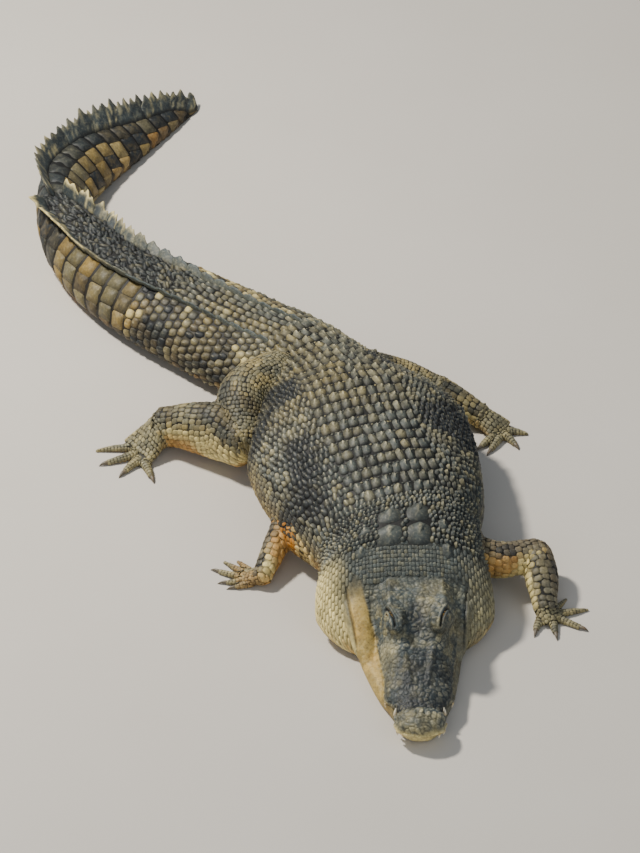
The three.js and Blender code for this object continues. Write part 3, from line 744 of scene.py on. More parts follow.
def make_shapes():
    """Every shape of scale, a size of 1 from its middle to its edge."""
    # The crown of each ring is painted light: 0 at the skirt paints shade in the grooves, the highest on the
    # top and keel paints a highlight.
    base = (1.0, SKIRT, 0)
    shapes = {
        "shield": (16, 3.0, [base, (0.92, 0.2, 0.4), (0.5, 0.35, 0.5)], (0.45, 0.52), 3.4, 0.3, False),
        "scute": (16, 3.6, [base, (0.95, 0.35, 0.4), (0.5, 0.45, 0.54)], (0.48, 0.58), 1.8, 1.0, False),
        "low_scute": (12, 3.6, [base, (0.94, 0.5, 0.46), (0.5, 0.75, 0.64)], (0.8, 0.68), 0.5, 0.75, False),
        "oval": (12, 3.0, [base, (0.92, 0.4, 0.42), (0.45, 0.6, 0.6)], (0.65, 0.64), 1.2, 0.9, False),
        "flake": (10, 2.6, [base, (0.92, 0.35, 0.38), (0.45, 0.5, 0.5)], (0.55, 0.52), 0.8, 0.95, False),
        "grain": (6, 2.2, [base, (0.8, 0.6, 0.35)], (0.9, 0.5)),
        "plate": (12, 8.0, [base, (0.96, 0.75, 0.52)], (1.0, 0.62), 0.0, 0.25),
        "tile": (8, 3.0, [base, (0.93, 0.5, 0.5), (0.6, 0.9, 0.62)], (1.0, 0.68)),
    }
    return {name: Shape(*sizes) for name, sizes in shapes.items()}


# ---------------------------------------------------------------- coats of scales


def write_values(mesh, values):
    """One number for each vertex under each name."""
    for name, numbers in values.items():
        mesh.attributes.new(name, "FLOAT", "POINT").data.foreach_set("value", numbers.astype(np.float32))


def add_piece(name, points, faces):
    """A new object from points of the line's millimetres."""
    mesh = bpy.data.meshes.new(name)
    mesh.from_pydata(to_frame(points).tolist(), [], faces)
    piece = bpy.data.objects.new(name, mesh)
    bpy.context.collection.objects.link(piece)
    return piece


def finish_piece(piece, material, slot, replaced=()):
    """Smooth shading, a material, and what the frame needs to know of a piece."""
    piece.data.shade_smooth()
    piece.data.materials.append(material)
    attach(piece, "root")
    if replaced:
        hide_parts(*replaced)


# Each kind of scale: shape, height, how much it varies, share of its room filled (length, width), how loosely
# it lies and how mottled it is.
KINDS = {
    "nuchal": ("shield", 4.5, 0.05, (0.95, 0.95), 0, 0),
    "nape_shield": ("shield", 3.5, 0.07, (0.95, 0.95), 0.05, 0),
    "nape": ("tile", 1.5, 0.07, (1.1, 1.1), 0.12, 0.08),
    "jowl": ("tile", 2.8, 0.12, (1.01, 1.0), 0.05, 0.12),
    "neck": ("oval", 5.0, 0.22, (1.12, 1.04), 0.16, 0.2),
    "back": ("scute", 6.5, 0.18, (1.14, 1.0), 0.09, 0.14),
    "back_grain": ("grain", 2.4, 0.25, (0.95, 0.95), 0.2, 0.3),
    "flank": ("oval", 5.0, 0.22, (1.18, 1.05), 0.16, 0.2),
    "low_flank": ("low_scute", 3.0, 0.12, (1.1, 1.0), 0.07, 0.25),
    "belly": ("plate", 3.4, 0.07, (0.95, 0.95), 0.01, 0.1),
    "tail_top": ("scute", 4.5, 0.18, (1.12, 0.98), 0.1, 0.14),
    "ruffle": ("flake", 6.0, 0.35, (1.5, 1.15), 0.35, 0.3),
    "tail_root": ("oval", 4.5, 0.15, (1.08, 1.0), 0.1, 0.4),
    "tail_side": ("low_scute", 4.5, 0.12, (0.98, 0.98), 0.08, 0.7),
    "tail_plate": ("plate", 4.2, 0.03, (0.86, 1.03), 0.02, 0.12),
    "limb": ("tile", 2.8, 0.15, (1.12, 1.08), 0.14, 0.15),
    "toe_top": ("tile", 1.4, 0.07, (1.12, 1.1), 0.06, 0.1),
    "toe_side": ("tile", 1.3, 0.07, (0.95, 0.95), 0.05, 0.1),
}
TURN_LOOSE = 2.5


class Coat:
    """Scales gathered for one piece."""

    def __init__(self, skin, seed):
        self.skin = skin
        self.random = np.random.default_rng(seed)
        self.points, self.faces, self.uv, self.count = [], [], [], 0
        self.values = {name: [] for name in MARKS + ("crown", "tone")}

    def lay(self, sheet, kind, places, height=None):
        """Scales of one kind at (along, across, length, width) places: each one's room."""
        if not len(places):
            return
        shape, usual, vary, gap, loose, mottle = KINDS[kind]
        shape, height = shared("shapes")[shape], height or usual
        along, across, length, width = np.asarray(places, float).T
        height = height * self.random.uniform(1 - 2 * vary, 1 + 2 * vary, len(along))
        along = along + loose * length * self.random.uniform(-1, 1, len(along))
        across = across + loose * width * self.random.uniform(-1, 1, len(along))
        turn = loose * TURN_LOOSE * self.random.uniform(-1, 1, len(along))
        root, out = sheet.at(along, across), sheet.facing(along, across)
        kept, drop = self.on_skin(root, out)
        count = int(kept.sum())
        if not count:
            return
        along, across, length, width, height, turn = (
            v[kept][:, None] for v in (along, across, length, width, height, turn)
        )
        root, drop = root[kept], drop[kept]
        vary = 1 + vary * self.random.uniform(-1, 1, (2, count, 1))
        x, y, z = shape.points.T
        right = 0.5 * gap[1] * width * x[None] * vary[0]
        back = 0.5 * gap[0] * length * y[None] * vary[1]
        s = along + back * np.cos(turn) - right * np.sin(turn)
        a = across + back * np.sin(turn) + right * np.cos(turn)
        points = sheet.at(s, a) + sheet.facing(s, a) * (z[None] * height)[..., None] - drop[:, None]
        points[..., 2] = np.maximum(points[..., 2], FLOOR_GAP)
        marks = hide_marks(sheet.name, along[:, 0], across[:, 0], sheet.girth_at(along[:, 0]), root)
        chance = self.random.uniform(0, 1, count)
        marks["pale"] = np.clip(marks["pale"] + mottle * smoothstep(0.72, 0.95, chance), 0, 1)
        marks["dark"] = np.clip(marks["dark"] + mottle * (1 - smoothstep(0.05, 0.3, chance)), 0, 1)
        patch = sheet.on_patch(along[:, 0], across[:, 0])[:, None] + PATCH * shape.points[None, :, :2]
        size = len(shape.points)
        base = self.count + size * np.arange(count)
        self.faces += [[b + i for i in face] for b in base.tolist() for face in shape.faces]
        self.points.append(points.reshape(-1, 3))
        self.uv.append(patch.reshape(-1, 2))
        for name in MARKS:
            self.values[name].append(np.repeat(marks[name], size))
        self.values["crown"].append(np.tile(shape.crown, count))
        self.values["tone"].append(np.repeat(self.random.uniform(0, 1, count), size))
        self.count += size * count

    def on_skin(self, root, out):
        """Which roots lie at the skin, and how far each has to move to lie on it."""
        kept, drop = np.zeros(len(root), bool), np.zeros((len(root), 3))
        for i, place in enumerate(to_frame(root)):
            if root[i, 2] < LOWEST_SCALE:
                continue
            near, normal, _, _ = self.skin.find_nearest(Vector(place))
            gap = (Vector(place) - near).dot(normal) * 1000
            kept[i] = -BURIED < gap < LOOSE and normal.dot(Vector(out[i])) > 0.3
            drop[i] = np.array(normal) * gap
        ragged = head_share(root) + 0.5 * (blotch(root, 22, 14) - 0.5)
        return kept & (ragged < 0.5), drop

    def make(self, name, slot):
        """The piece that holds the scales."""
        piece = add_piece(name, np.vstack(self.points), self.faces)
        mesh = piece.data
        write_values(mesh, {key: np.concatenate(parts) for key, parts in self.values.items()})
        corners = np.empty(len(mesh.loops), int)
        mesh.loops.foreach_get("vertex_index", corners)
        uv = np.vstack(self.uv)[corners]
        mesh.uv_layers.new(name="OFBake").data.foreach_set("uv", uv.ravel().astype(np.float32))
        finish_piece(piece, shared("hide"), slot)


def rows(start, end, pitch, low, high, width, shift=0.25):
    """Places of scales in rows across, each filling the room from low to high, by turns moved to either side.
    The sizes are numbers, or functions of the place along."""
    places = []
    s, way = start, 1
    while s < end - 1:
        step = float(pitch(s)) if callable(pitch) else pitch
        ends = [float(f(s + step / 2)) if callable(f) else f for f in (low, high)]
        wide = float(width(s)) if callable(width) else width
        count = max(int(round((ends[1] - ends[0]) / wide)), 1)
        cell = (ends[1] - ends[0]) / count
        for i in range(count):
            places.append((s + step / 2, ends[0] + cell * (i + 0.5 + way * shift), step, cell))
        s, way = s + step, -way
    return places


# ---------------------------------------------------------------- skin

VOXEL = 0.006
SKIN_SMOOTHING = 6
HEAD_REACH = 660
SKIN_TRIANGLES = 196000
CELL = 18.0
LID = 24.5
EYE_BALL = 19.5
MANDIBLE = profile((395, 146), (440, 150), (500, 158), (600, 172), (655, 180))
MANDIBLE_UP = profile((395, 62), (440, 80), (500, 118), (560, 146), (600, 162), (655, 174))
MANDIBLE_THICK = profile((395, 16), (440, 28), (560, 36), (655, 22))
MANDIBLE_SPAN = (395, 655)
MANDIBLE_DROP = 12
MANDIBLE_FLAT = 1.45


def mandible(side):
    """The back of the mandible, which stands out from the jowl up to the corner of the jaw."""
    along = np.linspace(*MANDIBLE_SPAN, 8)
    middle = body_point(along, side * MANDIBLE(along) + JAW_SAG(along), MANDIBLE_UP(along) - MANDIBLE_DROP)
    thick = MANDIBLE_THICK(along)
    return [(*place, size * MANDIBLE_FLAT, size) for place, size in zip(middle, thick)]


def skin_rings():
    """Every closed length of flesh that the skin is drawn over, the bony ones a little inside the bone."""
    yield body_rings(BODY_START, TAIL_END, 12, 120, -COAT)[1]
    yield head_rings(upper_head_half, HEAD_START, HEAD_END, lambda s: 0 * s, -1.0)[1]
    yield head_rings(jaw_half, JAW_START, JAW_END, JAW_SAG, -1.0)[1]
    for side in (-1, 1):
        yield ellipsoid(*ORBIT, side, -1.0)
        yield ellipsoid(EYE[0], (LID, LID, LID), side)
        yield tube(mandible(side), 40, 32, 0.0, 0.9)[1]
    yield ellipsoid(*NOSTRILS, 1, -1.0)
    for _, _, rings in limb_tubes(COAT):
        yield rings


def join_rings(name, loops):
    """One object from closed lengths of rings."""
    points, faces, count = [], [], 0
    for rings in loops:
        some, more = ring_faces(rings)
        points.append(some)
        faces += [[count + i for i in face] for face in more]
        count += len(some)
    return add_piece(name, np.vstack(points), faces)


def apply_modifier(piece, kind, **settings):
    """Adds a modifier and applies it."""
    start_afresh()
    bpy.context.view_layer.objects.active = piece
    piece.select_set(True)
    modifier = piece.modifiers.new(kind.title(), kind)
    for key, value in settings.items():
        setattr(modifier, key, value)
    bpy.ops.object.modifier_apply(modifier=modifier.name)


def read_vectors(data, key):
    """Three numbers from each item of an object's data."""
    flat = np.empty(len(data) * 3, np.float32)
    data.foreach_get(key, flat)
    return flat.reshape(-1, 3).astype(float)


def read_points(piece):
    """Points of an object, in the line's millimetres."""
    return from_frame(read_vectors(piece.data.vertices, "co"))


def read_normals(piece):
    """Directions out of an object at its points."""
    return read_vectors(piece.data.vertex_normals, "vector")


def write_points(piece, points):
    """Moves the points of an object to places in the line's millimetres."""
    piece.data.vertices.foreach_set("co", to_frame(points).astype(np.float32).ravel())
    piece.data.update()


def bare_bone(points):
    """Which points lie on the head where no scales cover it."""
    return (head_share(points) > 0.02) & (points[:, 2] > 30)


def thin_out(piece):
    """Fewer faces where scales cover the skin, and more on the head."""
    points = read_points(piece)
    bony = bare_bone(points)
    fine = bony | (points[:, 2] < 40) & (np.abs(along_body(points)[1]) > 330)
    group = piece.vertex_groups.new(name="covered")
    group.add(np.nonzero(~fine)[0].tolist(), 1.0, "REPLACE")
    ratio = (SKIN_TRIANGLES - 6 * bony.sum()) / (2 * len(points))
    apply_modifier(piece, "DECIMATE", ratio=ratio, vertex_group="covered", vertex_group_factor=8.0)
    piece.vertex_groups.clear()
    start_afresh()
    for vertex, chosen in zip(piece.data.vertices, bare_bone(read_points(piece))):
        vertex.select = bool(chosen)
    bpy.context.view_layer.objects.active = piece
    piece.select_set(True)
    bpy.ops.object.mode_set(mode="EDIT")
    bpy.ops.mesh.select_mode(type="VERT")
    bpy.ops.mesh.subdivide(number_cuts=1)
    bpy.ops.mesh.vertices_smooth(factor=0.5, repeat=3)
    bpy.ops.object.mode_set(mode="OBJECT")


def search_tree(places):
    """A tree to search for the nearest of places, by their numbers."""
    tree = KDTree(len(places))
    for i, place in enumerate(places.tolist()):
        tree.insert(place, i)
    tree.balance()
    return tree


BODY_TREE = search_tree(np.c_[TRACE, np.zeros(len(TRACE))])


def along_body(points):
    """(along, left) of points from the nearest place on the body's line."""
    nearest = np.array([BODY_TREE.find((x, y, 0))[1] for x, y in points[:, :2]])
    along = nearest * TRACE_STEP
    turn = heading(along)
    away = points[:, :2] - TRACE[nearest]
    return along, away[:, 0] * np.cos(turn) + away[:, 1] * np.sin(turn)


def line_gap(points, line):
    """Distance of points from a line through places."""
    line = np.array(line, float)
    best = np.full(len(points), 1e9)
    for start, end in zip(line, line[1:]):
        t = np.clip((points - start) @ (end - start) / ((end - start) @ (end - start)), 0, 1)
        best = np.minimum(best, np.linalg.norm(points - start - t[:, None] * (end - start), axis=1))
    return best


SLIT = [(378, 76), (402, 81), (424, 90), (450, 98), (474, 106)]
SNOUT_RIDGE = [(430, 52), (330, 48), (215, 30)]
EAR = [(500, 99, 214), (545, 101, 216), (580, 100, 212)]
LIP_WAVE = 29


def scatter_tree(points, random):
    """A tree of places scattered one to a cell round points, and how many there are."""
    low, high = points.min(0) - CELL, points.max(0) + CELL
    lattice = np.stack(np.meshgrid(*[np.arange(a, b, CELL) for a, b in zip(low, high)], indexing="ij"), -1)
    places = (lattice + CELL * random.uniform(0, 1, lattice.shape)).reshape(-1, 3)
    return search_tree(places), len(places)


def head_relief(points, normals):
    """How far the skin of the head stands out in millimetres, and the crown and tone of its cells."""
    along, left = head_place(points)
    side, up = np.abs(left), points[:, 2]
    on_top = smoothstep(0.15, 0.5, normals[:, 2])
    flat = np.stack([along, side], -1)
    lip = LIP_HEIGHT(along)
    at_lip = bell(side - LIP_WIDTH(along) + 2, 9)
    mouth_reach = band(along, 70, 520, 20)
    jaw_reach = band(along, 430, 650, 20)
    # ridges from the eyes to the snout and over the skull, hollows between them, and the nostrils
    relief = 7 * bell(line_gap(flat, SNOUT_RIDGE), 11) * on_top
    relief += 5 * bell(side - TOP_WIDTH(along) + 8, 9) * band(along, 440, 610, 10) * on_top
    relief -= 6 * bell(along - 435, 50) * bell(side, 30) * on_top
    relief -= 4 * bell(along - 545, 22) * bell(side - 40, 18) * on_top
    relief -= 4 * bell(along - 108, 9) * on_top
    relief -= 8 * bell(np.hypot((along - 58) / 16, (side - 13) / 5), 1) * on_top
    # the line of the mouth and its scalloped lip, the edge of the mandible and the ears
    relief -= 5 * bell(up - lip - 5, 4) * at_lip * mouth_reach
    scallops = 3.0 * np.sin(along * 2 * np.pi / LIP_WAVE) * bell(up - lip - 14, 9)
    relief += scallops * at_lip * band(along, 40, 560, 20)
    edge = np.abs(left - JAW_SAG(along)) - MANDIBLE(along) - 33
    relief -= 7 * bell(edge, 6) * jaw_reach
    relief -= 7 * bell(line_gap(np.stack([along, side, up], -1), EAR), 5)
    # the closed lids
    gap = line_gap(flat, SLIT)
    lid = smoothstep(185, 200, up) * smoothstep(0.0, 0.3, normals[:, 2])
    relief += (-9 * bell(gap, 3.2) + 2.2 * bell(gap - 8, 3.5) - 2.0 * bell(gap - 15, 2.5)) * lid
    # rough bone in cells
    smooth = bell(gap, 12) * lid
    random = np.random.default_rng(11)
    tree, count = scatter_tree(points, random)
    found = [tree.find_n(place, 2) for place in points.tolist()]
    wall = np.array([second[2] - first[2] for first, second in found]) / CELL
    cell = np.array([first[1] for first, _ in found])
    jaw = on_mandible(along, left, up)
    rough = (1 - smooth) * (1 - 0.9 * jaw)
    crown = smoothstep(0.02, 0.3, wall)
    lump = blotch(points, 34, 12)
    relief += 2.8 * (crown - 0.6) * rough
    relief += 7.0 * (lump - 0.5) * (1 - jaw) * (1 - smooth)
    relief += 2.5 * (blotch(points, 14, 13) - 0.5) * rough
    # painted light: the crown is lower in the grooves of the cells, painting shade there, and higher on the
    # lumps and lid ridges, painting highlights
    crown = 0.6 - 0.24 * (1 - crown) * rough + 0.15 * smoothstep(0.45, 0.7, lump) * (1 - jaw)
    crown = crown + 0.15 * bell(gap - 13, 4) * lid
    # painted shade: the crown is lowest in the lid slits, along the mouth line and in the crease at the
    # mandible's edge
    mouth = bell(up - lip - 5, 5) * at_lip * mouth_reach
    crown = crown * (1 - bell(gap, 5.0) * lid) * (1 - 0.8 * mouth) * (1 - 0.6 * bell(edge, 5) * jaw_reach)
    return relief, crown, random.uniform(0, 1, count)[cell]


def nearest_place(points, sheets):
    """For each point, the sheet that lies nearest, with (along, across) on it."""
    names, alongs, acrosses, tree_points = [], [], [], []
    for sheet in sheets.values():
        step = 2 if sheet.name == "body" else 1
        along = sheet.along[::step]
        share = np.arange(0, SHEET_AROUND, 4) / SHEET_AROUND
        a = (share - (share > 0.5))[None] * sheet.girth_at(along)[:, None]
        s = np.repeat(along[:, None], len(share), 1)
        tree_points.append(sheet.at(s, a).reshape(-1, 3))
        names += [sheet.name] * s.size
        alongs.append(s.ravel())
        acrosses.append(a.ravel())
    tree = search_tree(np.vstack(tree_points))
    found = np.array([tree.find(place)[1] for place in points.tolist()])
    return np.array(names)[found], np.concatenate(alongs)[found], np.concatenate(acrosses)[found]


HEAD_BLEND = (585, 645)


def mark_skin(piece, head, crown, tone):
    """Marks of the skin, those of the head blended into those of the neck."""
    sheets = shared("sheets")
    points = read_points(piece)
    names, along, across = nearest_place(points, sheets)
    values = {key: np.zeros(len(points)) for key in MARKS}
    for name in set(names):
        here = names == name
        girth = sheets[name].girth_at(along[here])
        for key, number in hide_marks(name, along[here], across[here], girth, points[here]).items():
            values[key][here] = number
    on_head = head_share(points[head])
    for key, number in head_marks(points[head]).items():
        values[key][head] = values[key][head] * (1 - on_head) + np.clip(number, 0, 1) * on_head
    nape = (names == "body") * (1 - smoothstep(690, 720, along))
    # painted shade: the bare skin between scales gets a low crown and is darkened, less where it is pale or
    # muddy, evenly on the nape
    values["crown"] = 0.45 * np.clip(values["pale"] + values["mud"], 0, 1) * (1 - nape) + 0.36 * nape
    values["crown"][head] += (crown - values["crown"][head]) * on_head
    values["tone"] = np.full(len(points), 0.4)
    values["tone"][head] = tone
    write_values(piece.data, values)


def head_share(points):
    """1 on the bony head and jaw, 0 on the neck and jowls."""
    along, left = head_place(points)
    side = np.abs(left - JAW_SAG(along))
    wide = np.where(along > 400, MANDIBLE(along) + 30, np.maximum(JAW_WIDTH(along), LIP_WIDTH(along)) + 24)
    return (1 - smoothstep(*HEAD_BLEND, along)) * (1 - smoothstep(wide, wide + 8, side))


SIDES = ("right", "left")
LIMB_PARTS = ("upper_arm", "forearm", "hand", "thigh", "shank", "foot")
FLESH = (
    ["head_upper", "lower_jaw", "neck", "trunk_front", "trunk_middle", "trunk_rear"]
    + [f"tail_{i}" for i in range(1, 7)]
    + [f"{part}_{side}" for part in LIMB_PARTS for side in SIDES]
)


def make_skin():
    """One skin over all the flesh, with the head's relief and the marks of the hide."""
    piece = join_rings("skin", skin_rings())
    apply_modifier(piece, "REMESH", mode="VOXEL", voxel_size=VOXEL, adaptivity=0.0)
    apply_modifier(piece, "SMOOTH", factor=0.5, iterations=SKIN_SMOOTHING)
    thin_out(piece)
    points = read_points(piece)
    along, _ = head_place(points)
    head = along < HEAD_REACH
    relief, crown, tone = head_relief(points[head], read_normals(piece)[head])
    points[head] += (relief * head_share(points[head]))[:, None] * read_normals(piece)[head]
    points[:, 2] = np.maximum(points[:, 2], 0)
    write_points(piece, points)
    mark_skin(piece, head, crown, tone)
    finish_piece(piece, shared("hide"), "hide", FLESH)


# ---------------------------------------------------------------- finishes


class Value:
    """A value in a finish, for writing its maths as an expression."""

    def __init__(self, finish, socket):
        self.finish, self.socket = finish, socket

    def maths(self, operation, *values, clamp=False):
        numbers = dict(enumerate(values))
        return self.finish.node("Math", values=numbers, operation=operation, use_clamp=clamp)

    def __add__(self, other):
        return self.maths("ADD", self, other)

    def __sub__(self, other):
        return self.maths("SUBTRACT", self, other)

    def __rsub__(self, other):
        return self.maths("SUBTRACT", other, self)

    def __mul__(self, other):
        return self.maths("MULTIPLY", self, other)

    def kept(self):
        """The value held from 0 to 1."""
        return self.maths("ADD", self, 0.0, clamp=True)

    def ramp(self, low, high):
        """0 below low and 1 above high."""
        return self.maths("MULTIPLY", self - low, 1 / (high - low), clamp=True)

    __radd__, __rmul__ = __add__, __mul__


class Finish:
    """A material and its nodes."""

    def __init__(self, name, **constants):
        self.material = bpy.data.materials.new(name)
        self.material.use_nodes = True
        self.tree = self.material.node_tree
        self.tree.nodes.clear()
        self.surface = self.tree.nodes.new("ShaderNodeBsdfPrincipled")
        output = self.tree.nodes.new("ShaderNodeOutputMaterial")
        self.tree.links.new(self.surface.outputs[0], output.inputs[0])
        for key, value in constants.items():
            self.surface.inputs[key.replace("_", " ")].default_value = value

    def node(self, kind, output=0, values=None, **settings):
        """A node of any kind: its settings first, then the values or links of its sockets."""
        node = self.tree.nodes.new(f"ShaderNode{kind}")
        for key, value in settings.items():
            setattr(node, key, value)
        for key, value in (values or {}).items():
            self.join(value, node.inputs[key])
        return Value(self, node.outputs[output])

    def join(self, value, socket):
        if isinstance(value, Value):
            self.tree.links.new(value.socket, socket)
        else:
            socket.default_value = value

    def mark(self, name):
        return self.node("Attribute", output="Fac", attribute_name=name)

    def mix(self, factor, first, second, **settings):
        """One colour over another, by a factor."""
        first, second = (v if isinstance(v, Value) else (*v, 1) for v in (first, second))
        values = {0: factor, 6: first, 7: second}
        return self.node("Mix", output=2, values=values, data_type="RGBA", **settings)

    def noise(self, scale, detail=3.0, rough=0.55):
        place = self.node("TexCoord", output="Object")
        values = {"Vector": place, "Scale": scale, "Detail": detail, "Roughness": rough}
        return self.node("TexNoise", values=values)

    def cells(self, scale):
        place = self.node("TexCoord", output="Object")
        return self.node("TexVoronoi", values={"Vector": place, "Scale": scale})

    def bump(self, *layers):
        """A normal from (height, distance, strength) layers, the first lowest."""
        normal = None
        for height, distance, strength in layers:
            values = {"Height": height, "Distance": distance, "Strength": strength}
            if normal:
                values["Normal"] = normal
            normal = self.node("Bump", values=values)
        self.join(normal, self.surface.inputs["Normal"])

    def show(self, colour, roughness):
        self.join(colour, self.surface.inputs["Base Color"])
        self.join(roughness, self.surface.inputs["Roughness"])
        return self.material


def paint(red, green, blue):
    """A colour from its screen values of 0 to 255."""
    screen = [value / 255 for value in (red, green, blue)]
    return tuple(v / 12.92 if v < 0.04045 else ((v + 0.055) / 1.055) ** 2.4 for v in screen)


def hide_finish():
    """The marked hide of skin and scales alike."""
    sizes = bpy.context.scene.crocodile_hide
    finish = Finish("marked_hide", IOR=1.45, Specular_IOR_Level=0.45)
    wide, middle, fine = finish.noise(9.0), finish.noise(48.0, 4.0), finish.noise(220.0, 3.0)
    crown, tone, dark = finish.mark("crown"), finish.mark("tone"), finish.mark("dark")
    colour = finish.mix(middle.ramp(0.35, 0.7) * 0.6, sizes.slate, [0.5 * v for v in sizes.slate])
    for key in ("khaki", "ochre", "pale", "mud", "dark"):
        weight = finish.mark(key)
        patchy = weight * (0.45 + 1.1 * middle) + (wide - 0.5) * weight * 0.4
        colour = finish.mix(patchy.kept(), colour, getattr(sizes, key))
    speck = finish.noise(105.0, 3.0, 0.65)
    fleck = speck.ramp(0.53, 0.66) * (1 - dark * 0.7) * sizes.flecks
    colour = finish.mix(fleck.kept(), colour, sizes.crest)
    colour = finish.mix((1 - speck.ramp(0.34, 0.45)) * sizes.specks, colour, sizes.dark)
    # painted highlight, with some pale wear: the high crowns of the scales, their tops and keels, are mixed
    # towards the crown colour
    top = crown.ramp(0.62, 0.92) * (1 - dark * 0.6) * (0.4 + 0.6 * tone)
    colour = finish.mix((top * fine.ramp(0.25, 0.6) * sizes.highlight).kept(), colour, sizes.crest)
    # painted shade: low crowns, the skin between scales and the skirts and fronts of scales, are darkened
    # towards near-black
    groove_shade = (1 - crown.ramp(0.05, 0.55)) * sizes.groove_shade_depth
    colour = finish.mix(groove_shade.kept(), colour, sizes.groove_shade)
    level = 0.72 + tone * 0.4 + (fine - 0.5) * 0.6
    shade = finish.node("CombineColor", values={0: level, 1: level, 2: level})
    colour = finish.mix(1.0, colour, shade, blend_type="MULTIPLY")
    finish.bump((middle, 0.002, 0.6), (fine, 0.0008, 0.7), (finish.cells(420.0), 0.0004, 0.5))
    return finish.show(colour, (0.41 + 0.22 * middle + 0.12 * (1 - crown)).kept())


def claw_finish():
    """Streaked horn, darker at the tip."""
    finish = Finish("horn", IOR=1.5, Specular_IOR_Level=0.5)
    streaks = finish.noise(260.0, 4.0)
    wide = finish.noise(60.0)
    tip = finish.mark("tip")
    colour = finish.mix(tip.ramp(0.1, 0.9), paint(96, 88, 72), paint(40, 36, 32))
    colour = finish.mix(streaks.ramp(0.4, 0.7) * 0.5, colour, paint(150, 138, 112))
    colour = finish.mix(wide.ramp(0.5, 0.75) * 0.5, colour, paint(120, 84, 52))
    finish.bump((streaks, 0.0006, 0.5))
    return finish.show(colour, (0.34 + 0.3 * wide).kept())


def tooth_finish():
    """Ivory, stained at the root."""
    finish = Finish("ivory", IOR=1.54, Specular_IOR_Level=0.5)
    stain, streaks = finish.noise(90.0), finish.noise(300.0, 4.0)
    tip = finish.mark("tip")
    colour = finish.mix(tip.ramp(0.0, 0.55), paint(186, 160, 108), paint(232, 224, 200))
    colour = finish.mix(stain.ramp(0.52, 0.75) * 0.4, colour, paint(150, 116, 70))
    finish.bump((streaks, 0.0004, 0.4))
    return finish.show(colour, (0.25 + 0.25 * streaks).kept())


def eye_finish():
    """A golden eye with an upright slit, told from marks on the ball."""
    coat = {"Coat_Weight": 0.8, "Coat_Roughness": 0.04, "Coat_IOR": 1.4}
    finish = Finish("golden_eye", IOR=1.42, Specular_IOR_Level=0.6, **coat)
    slit, veins = finish.mark("slit"), finish.noise(420.0, 5.0)
    colour = finish.mix(veins.ramp(0.35, 0.7), paint(118, 92, 38), paint(60, 50, 26))
    colour = finish.mix(slit.ramp(0.3, 0.6), colour, paint(8, 8, 8))
    finish.bump((veins, 0.0002, 0.2))
    return finish.show(colour, 0.12 + 0.06 * veins)


def floor_finish():
    """A pale matt floor."""
    finish = Finish("pale_floor", IOR=1.45, Specular_IOR_Level=0.2)
    soft = finish.noise(1.2)
    colour = finish.mix(soft, paint(196, 190, 180), paint(204, 199, 190))
    return finish.show(colour, 0.8 + 0.1 * soft)


# ---------------------------------------------------------------- what the pieces share

SHARED = {}


def skin_tree():
    """The skin as a tree to search for its nearest place."""
    mesh = bpy.data.objects["skin"].data
    points = [vertex.co.copy() for vertex in mesh.vertices]
    return BVHTree.FromPolygons(points, [tuple(face.vertices) for face in mesh.polygons])


def shared(key):
    """The sheets, the shapes of scales, the hide and the skin's tree, each made once."""
    if key not in SHARED:
        makers = {"sheets": make_sheets, "shapes": make_shapes, "hide": hide_finish, "tree": skin_tree}
        SHARED[key] = makers[key]()
    return SHARED[key]


def both(places):
    """The places and their like on the other side."""
    return places + [(s, -a, length, width) for s, a, length, width in places]


def where(places, test):
    """The places that pass a test of how far along and across they are."""
    return [place for place in places if test(place[0], abs(place[1]))]


def half_girth(share=1.0):
    """A share of half the body's girth, for any place along."""
    return lambda s: share * float(shared("sheets")["body"].girth_at(s)) / 2


def crest_across(along):
    """How far across the body's sheet the crest stands."""
    along = np.asarray(along, float)[..., None]
    x = CREST_SPREAD(along) * np.linspace(0, 1, 13)
    rise = HEIGHT(along) * (1 - WAIST_SHARE(along))
    z = rise * (1 - (x / HALF_WIDTH(along)) ** TOP_SQUARE(along)) ** (1 / TOP_SQUARE(along))
    return np.hypot(np.diff(x), np.diff(z)).sum(-1)


# ---------------------------------------------------------------- bands of scales

JOWL_END = 704
NECK_END = 905
BACK_END = TAIL_START
OVALS_END, RUFFLE_START, PLATES_START = 2350, 2500, 2620
TAIL_BELLY_END = 3600
FLANK_MIDDLE, FLANK_END = 0.44, 0.74
SCUTE = 44
BACK_WIDTH = 172
BACK_ROW = 53.0
# Shields as (along, across, length, width), on both sides.
NUCHAL = [(733, 51, 80, 96), (812, 49, 76, 92)]
NAPE = [(690, 150, 46, 48), (772, 138, 44, 46)]
# Length, width and height of the scales on each part of a limb.
LIMB_SCALES = {
    "arm_upper": (22, 24, 2.8), "arm_lower": (24, 30, 3.0), "arm_foot": (13, 14, 2.0),
    "leg_upper": (14, 16, 2.4), "leg_lower": (24, 21, 2.8), "leg_foot": (16, 16, 2.4),
}


def back_edge(s):
    """How far across the keeled scutes of the back reach, the same for the whole of a row."""
    s = NECK_END + BACK_ROW * math.floor((s - NECK_END) / BACK_ROW)
    return float(np.interp(s, [NECK_END, 1000, 1500, 1900, BACK_END], [120, BACK_WIDTH, BACK_WIDTH, 130, 96]))


def inside(s, a, along, across, length, width):
    """Whether a place lies under a shield."""
    return abs(s - along) < 0.42 * length and abs(a - across) < 0.42 * width


def columns(start, end, pitch, low, high, width):
    """Places of scales in columns along the body, each column moved by half a scale from its neighbour."""
    places = []
    for i in range(int((high - low) / width)):
        first = start + pitch * (0.5 if i % 2 else 0)
        across = low + width * (i + 0.5)
        places += [(s + pitch / 2, across, pitch, width) for s in np.arange(first, end - pitch / 2, pitch)]
    return places


